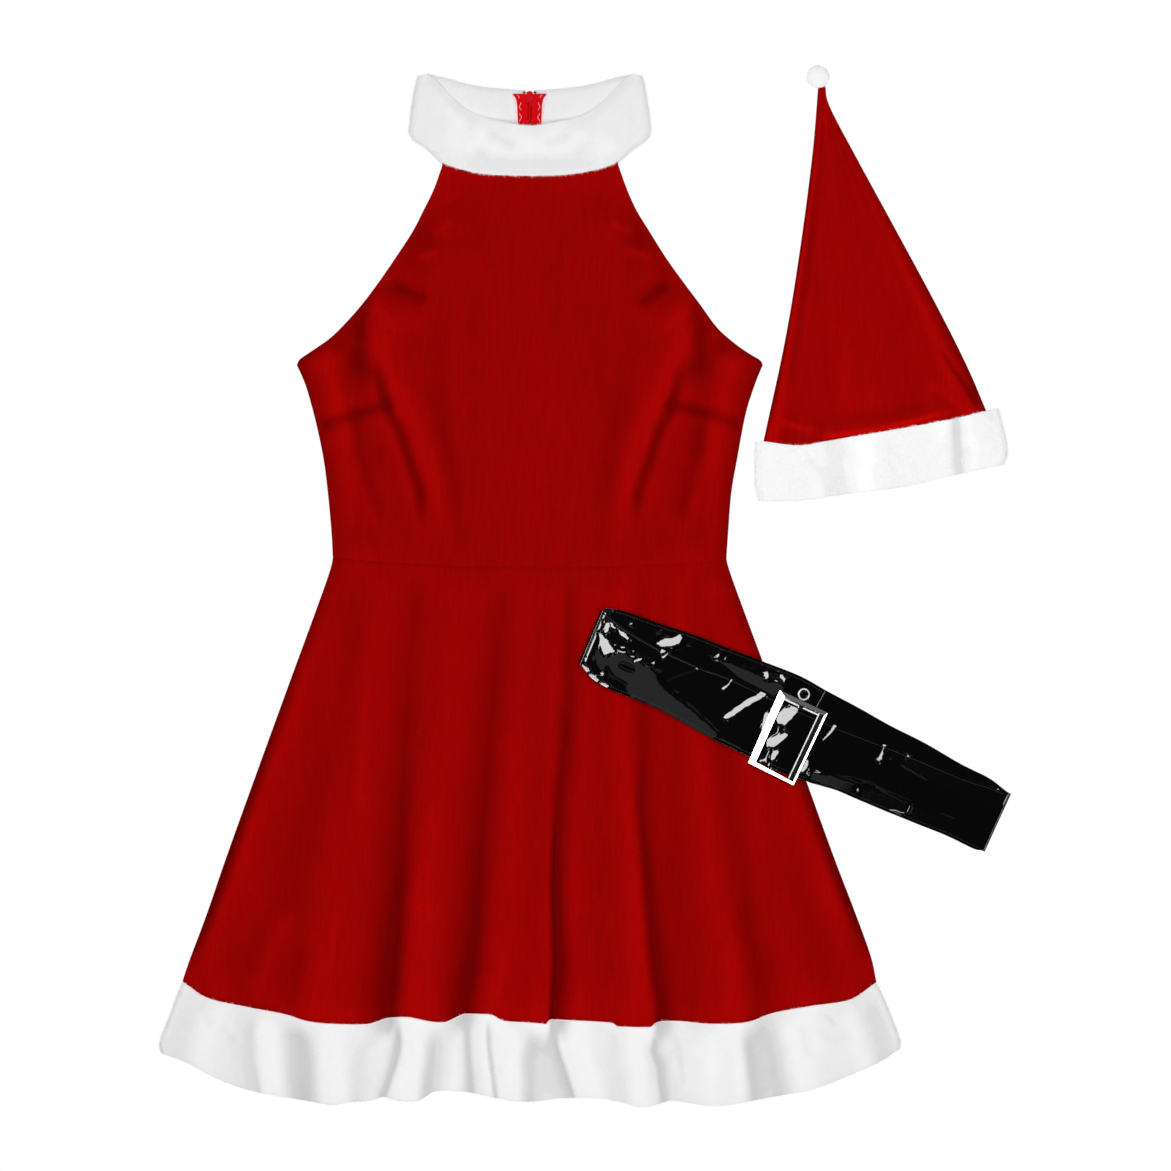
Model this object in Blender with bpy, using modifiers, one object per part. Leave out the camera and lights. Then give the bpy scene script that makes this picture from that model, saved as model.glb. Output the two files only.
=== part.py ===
"""Santa dress costume laid flat on a table: sleeveless velvet dress, pointed hat and wide belt.

Units are metres. Y points to the collar, Z points up from the table, and the front of the
dress is on top. Outlines are given on a layout grid: columns count to the right and rows
count down, GRID metres a step. Heights in the tables are in millimetres.
"""

import math

import bmesh
import bpy
import numpy as np
from mathutils import Matrix

MM = 0.001
GRID = 0.00095
LAYOUT_MID = 585.5

# Cloth, fur and strap
SEAM_GAP = 0.3
VELVET = 1.2
COLLAR_FUR = 8.0
HEM_FUR = 7.0
HAT_FUR = 6.0
STRAP = 1.8
EDGE_SHARE = 0.5

# Centre-back zip
ZIP_COLUMN = 529.6
TAPE = 0.8
TAPE_GAP = 3.2
ZIP_CHANNEL = 9.4
TAPE_FUR = 5.0

# Dress outlines, as (column, row)
ARMHOLE_LEFT = [
    (443.5, 164), (434, 190), (424, 210), (413, 231), (396, 257), (379.5, 281),
    (363, 303), (346, 322.5), (330, 338), (313, 350), (300, 359), (297, 365),
]
ARMHOLE_RIGHT = [
    (617, 163), (626, 188), (636, 210), (649, 231), (666, 258), (682.5, 281),
    (699, 303), (717, 327.5), (735.6, 344), (750, 354), (760, 360), (762.5, 365),
]
SIDE_LEFT = [(297, 365), (306, 386), (315.5, 420), (323.5, 458), (328, 493), (331.5, 531), (333, 558)]
SIDE_RIGHT = [(762.5, 365), (755.5, 382), (745.6, 413), (737, 458), (731, 493), (728, 531), (726, 560)]
NECK = [
    (443.5, 164), (462, 169.5), (480, 173.5), (507, 175.5), (553, 175.5), (580, 173), (599, 169), (617, 163),
]
WAIST = [(333, 560), (400, 565), (470, 568), (530, 568.5), (590, 568), (660, 565), (726, 560)]
SKIRT_LEFT = [(333, 560), (323.5, 590), (276, 720), (229, 850), (207, 914), (190, 960), (183, 981)]
SKIRT_RIGHT = [(726, 560), (736, 590), (784, 720), (831, 850), (853.5, 909), (870, 955), (876, 982)]
HEM_SEAM = [
    (183, 981), (207, 997), (246, 1006), (284, 1013), (310, 1020.5), (340, 1023), (369, 1023),
    (386, 1018), (407, 1016), (431, 1020.5), (445, 1021), (460, 1014.5), (477.5, 1013),
    (496, 1014.5), (503, 1019.6), (520.5, 1021), (547, 1021.5), (581, 1019.6), (613.5, 1022),
    (651, 1026), (674, 1019.6), (709, 1022.7), (747, 1021), (774, 1012), (812, 1005),
    (850, 999), (876, 982),
]
HEM_EDGE = [
    (162, 1053), (190, 1063.5), (212, 1075.6), (245, 1088.5), (279, 1095.4), (314, 1101.4),
    (334, 1104), (348, 1101.4), (370, 1100), (384, 1096), (400, 1099.7), (419, 1099.7),
    (434, 1091), (452, 1090), (477.5, 1093), (496, 1097), (527, 1101), (564, 1097.5),
    (598, 1097), (622, 1101.4), (641, 1106.3), (658, 1103), (674, 1099.7), (709, 1105),
    (735, 1103), (778, 1095.4), (812, 1088.5), (847, 1075.6), (880, 1061), (900, 1048),
]
HEM_SEAM_BACK = [
    (183, 981), (246, 1004), (310, 1014), (400, 1019), (530, 1021), (660, 1019), (750, 1014),
    (812, 1004), (876, 982),
]
HEM_EDGE_BACK = [
    (162, 1053), (212, 1072), (279, 1088), (348, 1094), (400, 1093), (443, 1088), (496, 1092),
    (564, 1094), (641, 1096), (709, 1096), (778, 1090), (847, 1071), (900, 1048),
]
HEM_LEFT = [(183, 981), (175, 1003), (167, 1024), (160, 1043), (162, 1053)]
HEM_RIGHT = [(876, 982), (886, 1005), (893, 1022), (899, 1038), (900, 1048)]
COLLAR_LEFT = [(418, 77), (414, 98), (411, 120), (411, 136), (427, 148), (443.5, 164)]
COLLAR_RIGHT = [(642, 76), (646, 98), (649, 120), (649, 136), (633, 148), (617, 163)]
COLLAR_BACK_TOP = [
    (418, 77), (427, 74), (443, 77), (480, 86), (530, 89.5), (580, 86), (617, 77), (633, 74), (642, 76),
]
COLLAR_FRONT_TOP = [
    (418, 77), (427, 74.5), (436, 80), (446, 91), (459, 103.5), (478, 115.5), (505, 122.5), (530, 126),
    (555, 122.5), (582, 115.5), (601, 103.5), (614, 91), (624, 80), (633, 74.5), (642, 76),
]

# Hat outlines, as (column, row)
HAT_TIP = [(819, 84.5), (825, 84.5)]
HAT_LEFT = [(819, 84.5), (813, 155), (800, 254), (785, 344), (764, 441)]
HAT_RIGHT = [(825, 84.5), (830, 107), (860, 164), (896, 230), (938, 308), (968, 368), (986, 410.5)]
HAT_SEAM = [(764, 441), (800, 445), (830, 440), (896, 429), (950, 419), (986, 410.5)]
HAT_BAND_TOP = [
    (756, 441), (764, 442), (800, 445), (830, 440), (896, 429), (950, 419), (984, 411), (998, 408),
]
HAT_BAND_EDGE = [(758.6, 500.5), (800, 500), (860, 492), (908, 486), (950, 476), (1004, 464)]
HAT_BAND_LEFT = [(756, 441), (755.5, 460), (755.5, 480), (758.6, 500.5)]
HAT_BAND_RIGHT = [(998, 408), (1002, 424), (1007, 449), (1004, 464)]
POMPOM = {"column": 818.2, "row": 76.5, "radius": 11.1, "height": 9.0}

# Fold lines of the skirt front: name, height at the waist, height at the hem, line down it
SKIRT_FOLDS = [
    ("left_roll", 5.5, 16.5, [(345, 600), (262, 850), (209, 936), (205, 1000)]),
    ("left_dip", 5.5, 13.5, [(352, 600), (300, 800), (253, 936), (246, 1006)]),
    ("ridge_a", 8.5, 23.0, [(375, 616), (344, 861), (336, 936), (329, 968), (325, 1020)]),
    ("trough_1", 5.0, 12.0, [(415, 601), (399.7, 867), (394.5, 953), (389, 1005)]),
    ("ridge_b", 8.5, 21.0, [(439, 662), (427, 815), (426, 884), (410, 970), (415, 1016)]),
    ("trough_2", 5.0, 12.0, [(500, 607), (488, 754), (481, 884), (474, 953), (465, 1005)]),
    ("ridge_c", 8.5, 21.5, [(519, 693), (510, 846), (508, 902), (501, 1005)]),
    ("lap", 8.0, 24.0, [(545, 700), (545, 815), (547, 870), (547.5, 1022)]),
    ("trough_3", 5.0, 11.5, [(562, 724), (556, 815), (554, 870), (553.5, 1022)]),
    ("ridge_d", 8.5, 22.5, [(610, 620), (620, 739), (632, 815), (632, 936), (636, 1005)]),
    ("trough_4", 5.0, 12.0, [(632, 660), (637, 754), (650, 846), (656, 936), (664, 999)]),
    ("ridge_e", 8.5, 22.0, [(690, 620), (699, 754), (715, 892), (723, 936), (727, 984)]),
    ("right_dip", 5.5, 14.0, [(715, 620), (765, 820), (775, 936), (785, 1006)]),
    ("right_roll", 5.5, 16.5, [(722, 600), (800, 850), (845, 936), (855, 995)]),
]

# Fold lines of the bodice front: name, height above the rest of the panel, line down it
BODICE_FOLDS = [
    ("left_outer_ridge", 8.5, [(330, 365), (345, 430), (352, 500), (352, 560)]),
    ("left_outer_trough", 6.0, [(355, 365), (355, 416), (370, 475), (376, 507), (380, 560)]),
    ("left_ridge", 13.0, [
        (378, 300), (378, 348), (402, 396), (417.5, 429), (430, 458), (440, 520), (440, 560),
    ]),
    ("left_trough", 8.5, [(450, 260), (440, 348), (445, 396), (452, 440), (458, 500), (462, 560)]),
    ("centre", 11.0, [(530, 200), (530, 300), (530, 400), (530, 560)]),
    ("right_trough", 8.5, [(612, 260), (620, 348), (614, 396), (607, 440), (600, 500), (597, 560)]),
    ("right_ridge", 13.0, [
        (683, 300), (681, 348), (659, 396), (641, 429), (632, 461), (622, 520), (620, 560),
    ]),
    ("right_outer_trough", 6.0, [(705, 365), (703, 416), (692, 475), (686, 507), (680, 560)]),
    ("right_outer_ridge", 8.5, [(730, 365), (715, 430), (708, 500), (708, 560)]),
]

# Creases pressed into the bodice front: depth, half width in grid steps, line along it
BODICE_CREASES = [
    (2.2, 7.0, [(319, 427), (349, 416.5), (385.5, 405)]),
    (2.2, 7.0, [(742, 426), (706.6, 413), (671.5, 405)]),
    (2.4, 7.0, [(386, 404), (392, 420), (411, 464), (421, 493), (421, 512)]),
    (2.4, 7.0, [(671.5, 405), (652, 460), (638, 515)]),
]

# Fold lines of the hat crown: name, height near the tip, height at the band, line down it
HAT_FOLDS = [
    ("left_roll", 4.5, 11.5, [(822, 130), (780, 395), (772, 441)]),
    ("crease", 3.8, 9.6, [(821, 164), (788, 395), (783, 441)]),
    ("front_ridge", 6.5, 15.5, [(826, 130), (850, 300), (862, 441)]),
    ("right_trough", 5.5, 13.0, [(832, 130), (905, 320), (938, 430)]),
    ("right_roll", 5.0, 14.0, [(830, 120), (925, 320), (966, 420)]),
]

# Belt: edges of its two layers as (column, row), and how high it lies as (column, height)
BELT_WIDTH = 59.5
BELT_FRONT_TOP = [
    (600.5, 610), (624, 627), (658, 647), (701, 666.5), (728, 676), (771, 696), (835, 725),
    (859, 734.5), (909, 754), (961, 776), (991, 786), (1011.5, 794),
]
BELT_FRONT_LOW = [
    (577.6, 664), (591, 679), (614, 691), (652, 706), (682, 722), (713, 739), (748, 756),
    (804, 779), (837, 790), (873, 806), (917, 824), (947, 836), (976, 850), (985, 852),
]
BELT_BACK_TOP = [
    (599.5, 606.5), (621, 610), (658, 623), (692, 634), (728, 648), (762, 661), (800, 676),
    (827, 691), (859, 708), (891, 726), (925, 743), (961, 764), (991, 779), (1011.5, 794),
]
BELT_LOOP = 5.0
BELT_LAP = {"left_end": 827.0, "right_end": 788.0, "lift": 2.1}
BELT_LIE = [
    (560, 12.5), (726, 12.5), (740, 12.4), (752, 12.1), (871, 1.44), (883, 0.6), (895, 0.15),
    (909, 0.0), (1100, 0.0),
]
BUCKLE_OUTER = [(779.4, 690), (827.5, 712.7), (793, 785), (747.5, 762.5)]
BUCKLE_WINDOW = [(784, 700), (817.5, 715.5), (787.5, 778.5), (756, 761)]
BELT_TILT = math.atan(0.0896 * MM / GRID)
BUCKLE_BASE = 7.1
BUCKLE_RIM = 1.6
BUCKLE_RIDGE = 3.6
BUCKLE_BAR = {"width": 5.0, "low": -1.5, "high": 0.9, "lift": 3.4}
PRESS_STUD = {"column": 803.7, "row": 694.3, "radius": 5.9, "height": 1.6}


def ease(t):
    t = np.clip(t, 0.0, 1.0)
    return t * t * (3.0 - 2.0 * t)


def dense_line(points):
    """Close-set points on a smooth line through the given ones."""
    line = np.array(points, float)
    if len(line) < 3:
        return line
    ends = np.vstack([2 * line[0] - line[1], line, 2 * line[-1] - line[-2]])
    t = np.linspace(0, 1, 9)[:-1, None]
    pieces = []
    for a, b, c, d in zip(ends, ends[1:], ends[2:], ends[3:]):
        bend = (c - a) * t + (2 * a - 5 * b + 4 * c - d) * t**2 + (3 * b - a - 3 * c + d) * t**3
        pieces.append(b + 0.5 * bend)
    return np.vstack(pieces + [line[-1:]])


def line_run(line):
    steps = np.linalg.norm(np.diff(line, axis=0), axis=1)
    return np.concatenate([[0.0], np.cumsum(steps)])


def sample(points, shares):
    """Points at the given shares of a smooth line's length."""
    line = dense_line(points)
    run = line_run(line)
    wanted = np.asarray(shares) * run[-1]
    return np.column_stack([np.interp(wanted, run, line[:, k]) for k in (0, 1)])


def even(count):
    return np.linspace(0, 1, count)


def patch(top, bottom, left, right):
    """Plan grid inside four border lines: first index down, second index across."""
    u = line_run(top) / line_run(top)[-1]
    v = line_run(left) / line_run(left)[-1]
    u = u[None, :, None]
    v = v[:, None, None]
    corners = (1 - v) * ((1 - u) * top[0] + u * top[-1]) + v * ((1 - u) * bottom[0] + u * bottom[-1])
    across = (1 - v) * top[None] + v * bottom[None]
    down = (1 - u) * left[:, None] + u * right[:, None]
    return across + down - corners


def column_at(line, row):
    table = np.array(sorted((r, c) for c, r in line))
    return np.interp(row, table[:, 0], table[:, 1])


def between_folds(column, stops):
    """Height at a column, eased between neighbouring fold lines (column, height)."""
    stops = sorted(stops)
    if column <= stops[0][0]:
        return stops[0][1]
    for (c0, h0), (c1, h1) in zip(stops, stops[1:]):
        if column <= c1:
            return h0 + (h1 - h0) * ease((column - c0) / max(c1 - c0, 1e-6))
    return stops[-1][1]


def line_distance(column, row, line):
    best = 1e9
    for (c0, r0), (c1, r1) in zip(line, line[1:]):
        dc, dr = c1 - c0, r1 - r0
        t = ((column - c0) * dc + (row - r0) * dr) / (dc * dc + dr * dr)
        t = min(1.0, max(0.0, t))
        best = min(best, math.hypot(column - c0 - t * dc, row - r0 - t * dr))
    return best


FRONT_EDGE = VELVET + SEAM_GAP + VELVET / 2
HEM_MID = 1.5 * HEM_FUR + SEAM_GAP
COLLAR_MID = 1.5 * COLLAR_FUR + SEAM_GAP
HAT_MID = 1.5 * HAT_FUR + SEAM_GAP


def skirt_height(column, row):
    """Middle of the skirt front's cloth above the table."""
    down = min(1.0, max(0.0, (row - 560.0) / 455.0))
    edge = FRONT_EDGE + (HEM_MID - FRONT_EDGE) * float(ease((row - 890.0) / 92.0))
    stops = [(column_at(SKIRT_LEFT, row), edge), (column_at(SKIRT_RIGHT, row), edge)]
    for name, high, low, line in SKIRT_FOLDS:
        stops.append((float(column_at(line, row)), high + (low - high) * down**1.3))
    return float(between_folds(column, stops))


def bodice_height(column, row):
    """Middle of the bodice front's cloth above the table."""
    left = column_at(ARMHOLE_LEFT + SIDE_LEFT, row)
    right = column_at(ARMHOLE_RIGHT + SIDE_RIGHT, row)
    stops = [(left, FRONT_EDGE), (right, FRONT_EDGE)]
    for name, height, line in BODICE_FOLDS:
        place = float(column_at(line, row))
        inside = min(place - left, right - place)
        if inside > 6.0:
            near_waist = float(ease((row - 440.0) / 120.0))
            height = height + (6.5 + 0.25 * (height - 9.0) - height) * near_waist
            stops.append((place, FRONT_EDGE + (height - FRONT_EDGE) * float(ease(inside / 40.0))))
    height = float(between_folds(column, stops))
    for depth, width, line in BODICE_CREASES:
        height -= depth * math.exp(-((line_distance(column, row, line) / width) ** 2))
    to_neck = float(ease((245.0 - row) / 72.0))
    height += (COLLAR_MID - height) * to_neck
    return max(height, FRONT_EDGE)


def hat_height(column, row):
    """Middle of the hat front's cloth above the table."""
    down = min(1.0, max(0.0, (row - 130.0) / 300.0))
    edge = FRONT_EDGE + (HAT_MID - FRONT_EDGE) * float(ease((row - 385.0) / 55.0))
    left = column_at(HAT_LEFT, row)
    right = column_at(HAT_RIGHT, row)
    stops = [(left, edge), (right, edge)]
    for name, high, low, line in HAT_FOLDS:
        place = float(column_at(line, row))
        if left + 2.0 < place < right - 2.0:
            stops.append((place, high + (low - high) * down))
    height = float(between_folds(column, stops))
    start = float(ease((row - 88.0) / 40.0))
    return FRONT_EDGE + (height - FRONT_EDGE) * start


def place(plan, heights):
    """Space points from plan points in grid steps and heights in millimetres."""
    spots = np.zeros(plan.shape[:-1] + (3,))
    spots[..., 0] = (plan[..., 0] - LAYOUT_MID) * GRID
    spots[..., 1] = (LAYOUT_MID - plan[..., 1]) * GRID
    spots[..., 2] = np.asarray(heights) * MM
    return spots


def layout_point(column, row, height=0.0):
    return tuple(place(np.array([float(column), float(row)]), height))


def add(name, mesh, group, look, location=(0, 0, 0), tilt=0.0):
    """One named piece in the costume's collection."""
    item = bpy.data.objects.new(name, mesh)
    item.location = location
    item.rotation_euler = (0, tilt, 0)
    item.parent = GROUPS[group]
    COSTUME.objects.link(item)
    mesh.materials.clear()
    mesh.materials.append(LOOKS[look])
    return item


def look(name, colour, roughness, metallic=0.0):
    material = bpy.data.materials.new(name)
    material.use_nodes = True
    shader = material.node_tree.nodes["Principled BSDF"]
    shader.inputs["Base Color"].default_value = (*colour, 1)
    shader.inputs["Roughness"].default_value = roughness
    shader.inputs["Metallic"].default_value = metallic
    material.diffuse_color = (*colour, 1)
    return material


def strip_faces(rows, columns, ring, first=0, flip=False):
    """Faces of a point grid; a ring joins its last row to its first."""
    faces = []
    for i in range(rows if ring else rows - 1):
        n = (i + 1) % rows
        for j in range(columns - 1):
            face = (i * columns + j, n * columns + j, n * columns + j + 1, i * columns + j + 1)
            face = tuple(first + k for k in face)
            faces.append(face[::-1] if flip else face)
    return faces


def surface(name, grid):
    """Open surface through a point grid."""
    mesh = bpy.data.meshes.new(name)
    mesh.from_pydata([tuple(p) for p in grid.reshape(-1, 3)], [], strip_faces(*grid.shape[:2], False))
    return mesh


def thicken(item, thickness):
    shell = item.modifiers.new("thickness", "SOLIDIFY")
    shell.thickness = thickness * MM
    shell.offset = 0.0
    return item


def loft(name, outer, inner, ring):
    """Closed body between two faces given as point grids, for a strip of uneven depth."""
    rows, columns = outer.shape[:2]
    verts = [tuple(p) for p in outer.reshape(-1, 3)] + [tuple(p) for p in inner.reshape(-1, 3)]
    under = rows * columns
    faces = strip_faces(rows, columns, ring) + strip_faces(rows, columns, ring, under, True)
    for i in range(rows if ring else rows - 1):
        a, b = i * columns, (i + 1) % rows * columns
        faces.append((a, a + under, b + under, b))
        last = columns - 1
        faces.append((a + last, b + last, b + last + under, a + last + under))
    if not ring:
        end = (rows - 1) * columns
        for j in range(columns - 1):
            faces.append((j, j + 1, j + 1 + under, j + under))
            faces.append((end + j, end + j + under, end + j + 1 + under, end + j + 1))
    mesh = bpy.data.meshes.new(name)
    mesh.from_pydata(verts, [], faces)
    return facing_out(mesh)


def facing_out(mesh):
    shape = bmesh.new()
    shape.from_mesh(mesh)
    bmesh.ops.recalc_face_normals(shape, faces=shape.faces)
    shape.to_mesh(mesh)
    shape.free()
    return mesh


def cut_out(name, outlines, low, high):
    """Flat body on plan outlines in metres; a second outline is a hole."""
    curve = bpy.data.curves.new(name, "CURVE")
    curve.dimensions = "2D"
    curve.fill_mode = "BOTH"
    curve.extrude = (high - low) / 2
    for outline in outlines:
        spline = curve.splines.new("POLY")
        spline.points.add(len(outline) - 1)
        for point, spot in zip(spline.points, outline):
            point.co = (spot[0], spot[1], (low + high) / 2, 1)
        spline.use_cyclic_u = True
    guide = bpy.data.objects.new(name, curve)
    bpy.context.scene.collection.objects.link(guide)
    graph = bpy.context.evaluated_depsgraph_get()
    mesh = bpy.data.meshes.new_from_object(guide.evaluated_get(graph))
    bpy.data.objects.remove(guide)
    shape = bmesh.new()
    shape.from_mesh(mesh)
    bmesh.ops.remove_doubles(shape, verts=shape.verts, dist=1e-6)
    bmesh.ops.recalc_face_normals(shape, faces=shape.faces)
    shape.to_mesh(mesh)
    shape.free()
    return mesh


def block(name, size, centre):
    """Box with the given sides about a centre point."""
    shape = bmesh.new()
    matrix = Matrix.Translation(centre) @ Matrix.Diagonal((*size, 1.0))
    bmesh.ops.create_cube(shape, size=1.0, matrix=matrix)
    mesh = bpy.data.meshes.new(name)
    shape.to_mesh(mesh)
    shape.free()
    return mesh


def join(item, extras):
    """Boolean union of a piece with further meshes in the same place."""
    for k, mesh in enumerate(extras):
        cutter = bpy.data.objects.new(f"{item.name}_extra_{k}", mesh)
        cutter.location = item.location
        cutter.rotation_euler = item.rotation_euler
        cutter.hide_render = True
        cutter.display_type = "WIRE"
        CUTTERS.objects.link(cutter)
        union = item.modifiers.new("union", "BOOLEAN")
        union.operation = "UNION"
        union.solver = "EXACT"
        union.object = cutter


def cloth_panel(name, plan, heights, group):
    """A cloth panel on a grid of plan points, its middle at the given heights."""
    return thicken(add(name, surface(name, place(plan, heights)), group, "velvet"), VELVET)


def flat_panel(name, plan, group):
    """A cloth panel that lies flat on the table, cut along the grid's four border lines."""
    spots = place(plan, 0)[..., :2]
    border = np.vstack([spots[0, :-1], spots[:-1, -1], spots[-1, :0:-1], spots[:0:-1, 0]])
    return add(name, cut_out(name, [border], 0.0, VELVET * MM), group, "velvet")


def heights_of(plan, height_at):
    return np.array([[height_at(c, r) for c, r in line] for line in plan])


def share_of_row(line, start, end, shares):
    """Points along a row after leaving out a length at both ends."""
    run = line_run(line)
    wanted = start + (run[-1] - start - end) * np.asarray(shares)
    return np.column_stack([np.interp(wanted, run, line[:, k]) for k in (0, 1)])


def fur_depth(v, fur):
    """Fur depth across a band: full in the middle, rounded at both edges."""
    return fur * (EDGE_SHARE + (1 - EDGE_SHARE) * math.sqrt(max(0.0, 1 - abs(2 * v - 1) ** 5)))


BAND_ROWS = [0.0, 0.05, 0.17, 0.38, 0.62, 0.83, 0.95, 1.0]


def fur_band(name, group, plans, fur, front_mid, shares, back_shares, open_half=0.0, back_fur=None):
    """A fur strip folded flat round both sides; it is open at the centre back if open_half is set."""
    front_plan, back_plan = plans
    inset = (fur + SEAM_GAP / 2) * MM / GRID
    axis = fur + SEAM_GAP / 2
    radius = (fur + SEAM_GAP) / 2
    turns = np.radians([30, 60, 90, 120, 150])
    front_out, front_in, back_out, back_in = [], [], [], []
    left_turn, right_turn = [], []
    for j, v in enumerate(BAND_ROWS):
        depth = fur_depth(v, fur)
        line = share_of_row(front_plan[j], inset, inset, shares)
        run = np.linalg.norm(line - line[0], axis=1)
        mids = []
        for k, (c, r) in enumerate(line):
            from_side = min(run[k], np.linalg.norm(line[-1] - line[k]))
            blend = float(ease(from_side / 36.0))
            mids.append(axis + radius + (front_mid(c, r) - axis - radius) * blend)
        mids = np.array(mids)
        front_out.append(place(line, mids + depth / 2))
        front_in.append(place(line, mids - depth / 2))
        for side, store in ((0, left_turn), (-1, right_turn)):
            outward = front_plan[j][side] - line[side]
            outward = outward / np.linalg.norm(outward)
            arc = []
            for angle in turns:
                share = (1 - math.cos(angle)) / 2
                outer = (radius + depth / 2) * (1 - share) + axis * share
                inner = (radius - depth / 2) * (1 - share) + (axis - depth) * share
                pair = []
                for reach in (outer, inner):
                    spot = line[side] + outward * reach * math.sin(angle) * MM / GRID
                    pair.append(place(spot, axis + reach * math.cos(angle)))
                arc.append(pair)
            store.append(arc)
        back = share_of_row(back_plan[j], inset, inset, back_shares)
        depths = np.full(len(back), depth)
        if back_fur is not None:
            depths = np.array([depth * back_fur(c) for c, r in back])
        if open_half:
            back[:, 0] = np.where(
                np.abs(back[:, 0] - ZIP_COLUMN) < open_half,
                ZIP_COLUMN + np.sign(back[:, 0] - ZIP_COLUMN) * open_half, back[:, 0],
            )
        back_out.append(place(back, np.zeros(len(back))))
        back_in.append(place(back, depths))
    front_out, front_in = np.array(front_out), np.array(front_in)
    back_out, back_in = np.array(back_out), np.array(back_in)
    left_turn, right_turn = np.array(left_turn), np.array(right_turn)

    def stations(front, back, turn):
        """Sections in order round the strip, from the centre back where it is open."""
        rows = [front[:, k] for k in range(front.shape[1])]
        right = [right_turn[:, k, turn] for k in range(len(turns))]
        under = [back[:, k] for k in range(back.shape[1])][::-1]
        left = [left_turn[:, k, turn] for k in range(len(turns))][::-1]
        if not open_half:
            return np.array(rows + right + under + left)
        middle = len(under) // 2
        return np.array(under[middle:] + left + rows + right + under[:middle])

    outer = stations(front_out, back_out, 0)
    inner = stations(front_in, back_in, 1)
    return add(name, loft(name, outer, inner, not open_half), group, "fur")


def band_plan(top, bottom, left, right, count=61):
    """Plan rows of a band, one for each of BAND_ROWS."""
    sides = sample(left, BAND_ROWS), sample(right, BAND_ROWS)
    return patch(sample(top, even(count)), sample(bottom, even(count)), *sides)


def matched_shares(columns, length, inset):
    """Shares along a band's inset edge that stand at the same places as a panel's columns."""
    kept = [u for u in columns if inset * 1.2 < u * length < length - inset * 1.2]
    return np.array([0.0] + [(u * length - inset) / (length - 2 * inset) for u in kept] + [1.0])


def moved_down(points, steps):
    return [(c, r + steps) for c, r in points]


# Dress panels
BODICE_COLUMNS = even(35)
SKIRT_COLUMNS = np.array(sorted(list(even(53)) + [0.5245, 0.5308, 0.5345, 0.5425]))
BACK_COLUMNS = even(25)
GAP_STEPS = SEAM_GAP * MM / GRID


def build_bodice():
    down_arm = even(12)
    down_side = even(10)[1:]
    left = np.vstack([sample(ARMHOLE_LEFT, down_arm), sample(SIDE_LEFT, down_side)])
    right = np.vstack([sample(ARMHOLE_RIGHT, down_arm), sample(SIDE_RIGHT, down_side)])
    low_neck = moved_down(NECK, GAP_STEPS)
    left[0], right[0] = low_neck[0], low_neck[-1]
    front = patch(sample(low_neck, BODICE_COLUMNS), sample(WAIST, BODICE_COLUMNS), left, right)
    cloth_panel("bodice_front", front, heights_of(front, bodice_height), "dress")
    back_halves("bodice_back", low_neck, WAIST, left, right)


def back_halves(name, top, bottom, left, right):
    """Two flat back panels that meet at the centre-back seam."""
    across = patch(sample(top, BACK_COLUMNS), sample(bottom, BACK_COLUMNS), left, right)
    middle = len(BACK_COLUMNS) // 2
    for side, sign in (("left", -1), ("right", 1)):
        half = across[:, : middle + 1].copy() if sign < 0 else across[:, middle:].copy()
        half[:, middle if sign < 0 else 0, 0] = ZIP_COLUMN + sign * GAP_STEPS / 2
        flat_panel(f"{name}_{side}", half, "dress")


def build_skirt():
    down = np.array(sorted(list(even(17)) + [0.97]))
    low_waist = moved_down(WAIST, GAP_STEPS)
    left = sample([low_waist[0]] + SKIRT_LEFT[1:], down)
    right = sample([low_waist[-1]] + SKIRT_RIGHT[1:], down)
    front = patch(sample(low_waist, SKIRT_COLUMNS), sample(HEM_SEAM, SKIRT_COLUMNS), left, right)
    cloth_panel("skirt_front", front, heights_of(front, skirt_height), "dress")
    few = np.array([0, 0.12, 0.25, 0.38, 0.5, 0.62, 0.75, 0.87, 0.95, 1])
    left = sample([low_waist[0]] + SKIRT_LEFT[1:], few)
    right = sample([low_waist[-1]] + SKIRT_RIGHT[1:], few)
    back_halves("skirt_back", low_waist, HEM_SEAM_BACK, left, right)


def hem_height(column, row):
    """Middle of the front hem fur above the table; its folds lean with the skirt's."""
    lean = (row - 1020.0) * (column - 530.0) / 5000.0
    return max(HEM_MID, skirt_height(column - lean, 1014.0))


def build_hem():
    top = moved_down(HEM_SEAM, 2.4 * GAP_STEPS)
    left = [top[0]] + HEM_LEFT[1:]
    right = [top[-1]] + HEM_RIGHT[1:]
    front = band_plan(top, HEM_EDGE, left, right, 121)
    back = band_plan(moved_down(HEM_SEAM_BACK, GAP_STEPS), HEM_EDGE_BACK, left, right, 121)
    length = line_run(dense_line(top))[-1]
    inset = (HEM_FUR + SEAM_GAP / 2) * MM / GRID
    shares = matched_shares(SKIRT_COLUMNS, length, inset)
    fur_band("hem_band", "dress", (front, back), HEM_FUR, hem_height, shares, even(25))


def collar_height(column, row):
    """Middle of the front collar fur above the table, with the soft crease across it."""
    across = min(1.0, abs(column - 530.0) / 110.0)
    puff = 2.0 * (1 - across**2)
    crease = 1.6 * math.exp(-(((row - 143.0) / 8.0) ** 2)) * (1 - float(ease((abs(column - 530) - 30) / 30)))
    return COLLAR_MID + (puff - crease) * float(ease((166.0 - row) / 18.0))


def back_fur_share(column):
    """Fur of the back collar is pressed thin under the zip tape."""
    away = abs(column - ZIP_COLUMN)
    return (TAPE_FUR + (COLLAR_FUR - TAPE_FUR) * float(ease((away - 18.5) / 14.0))) / COLLAR_FUR


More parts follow.
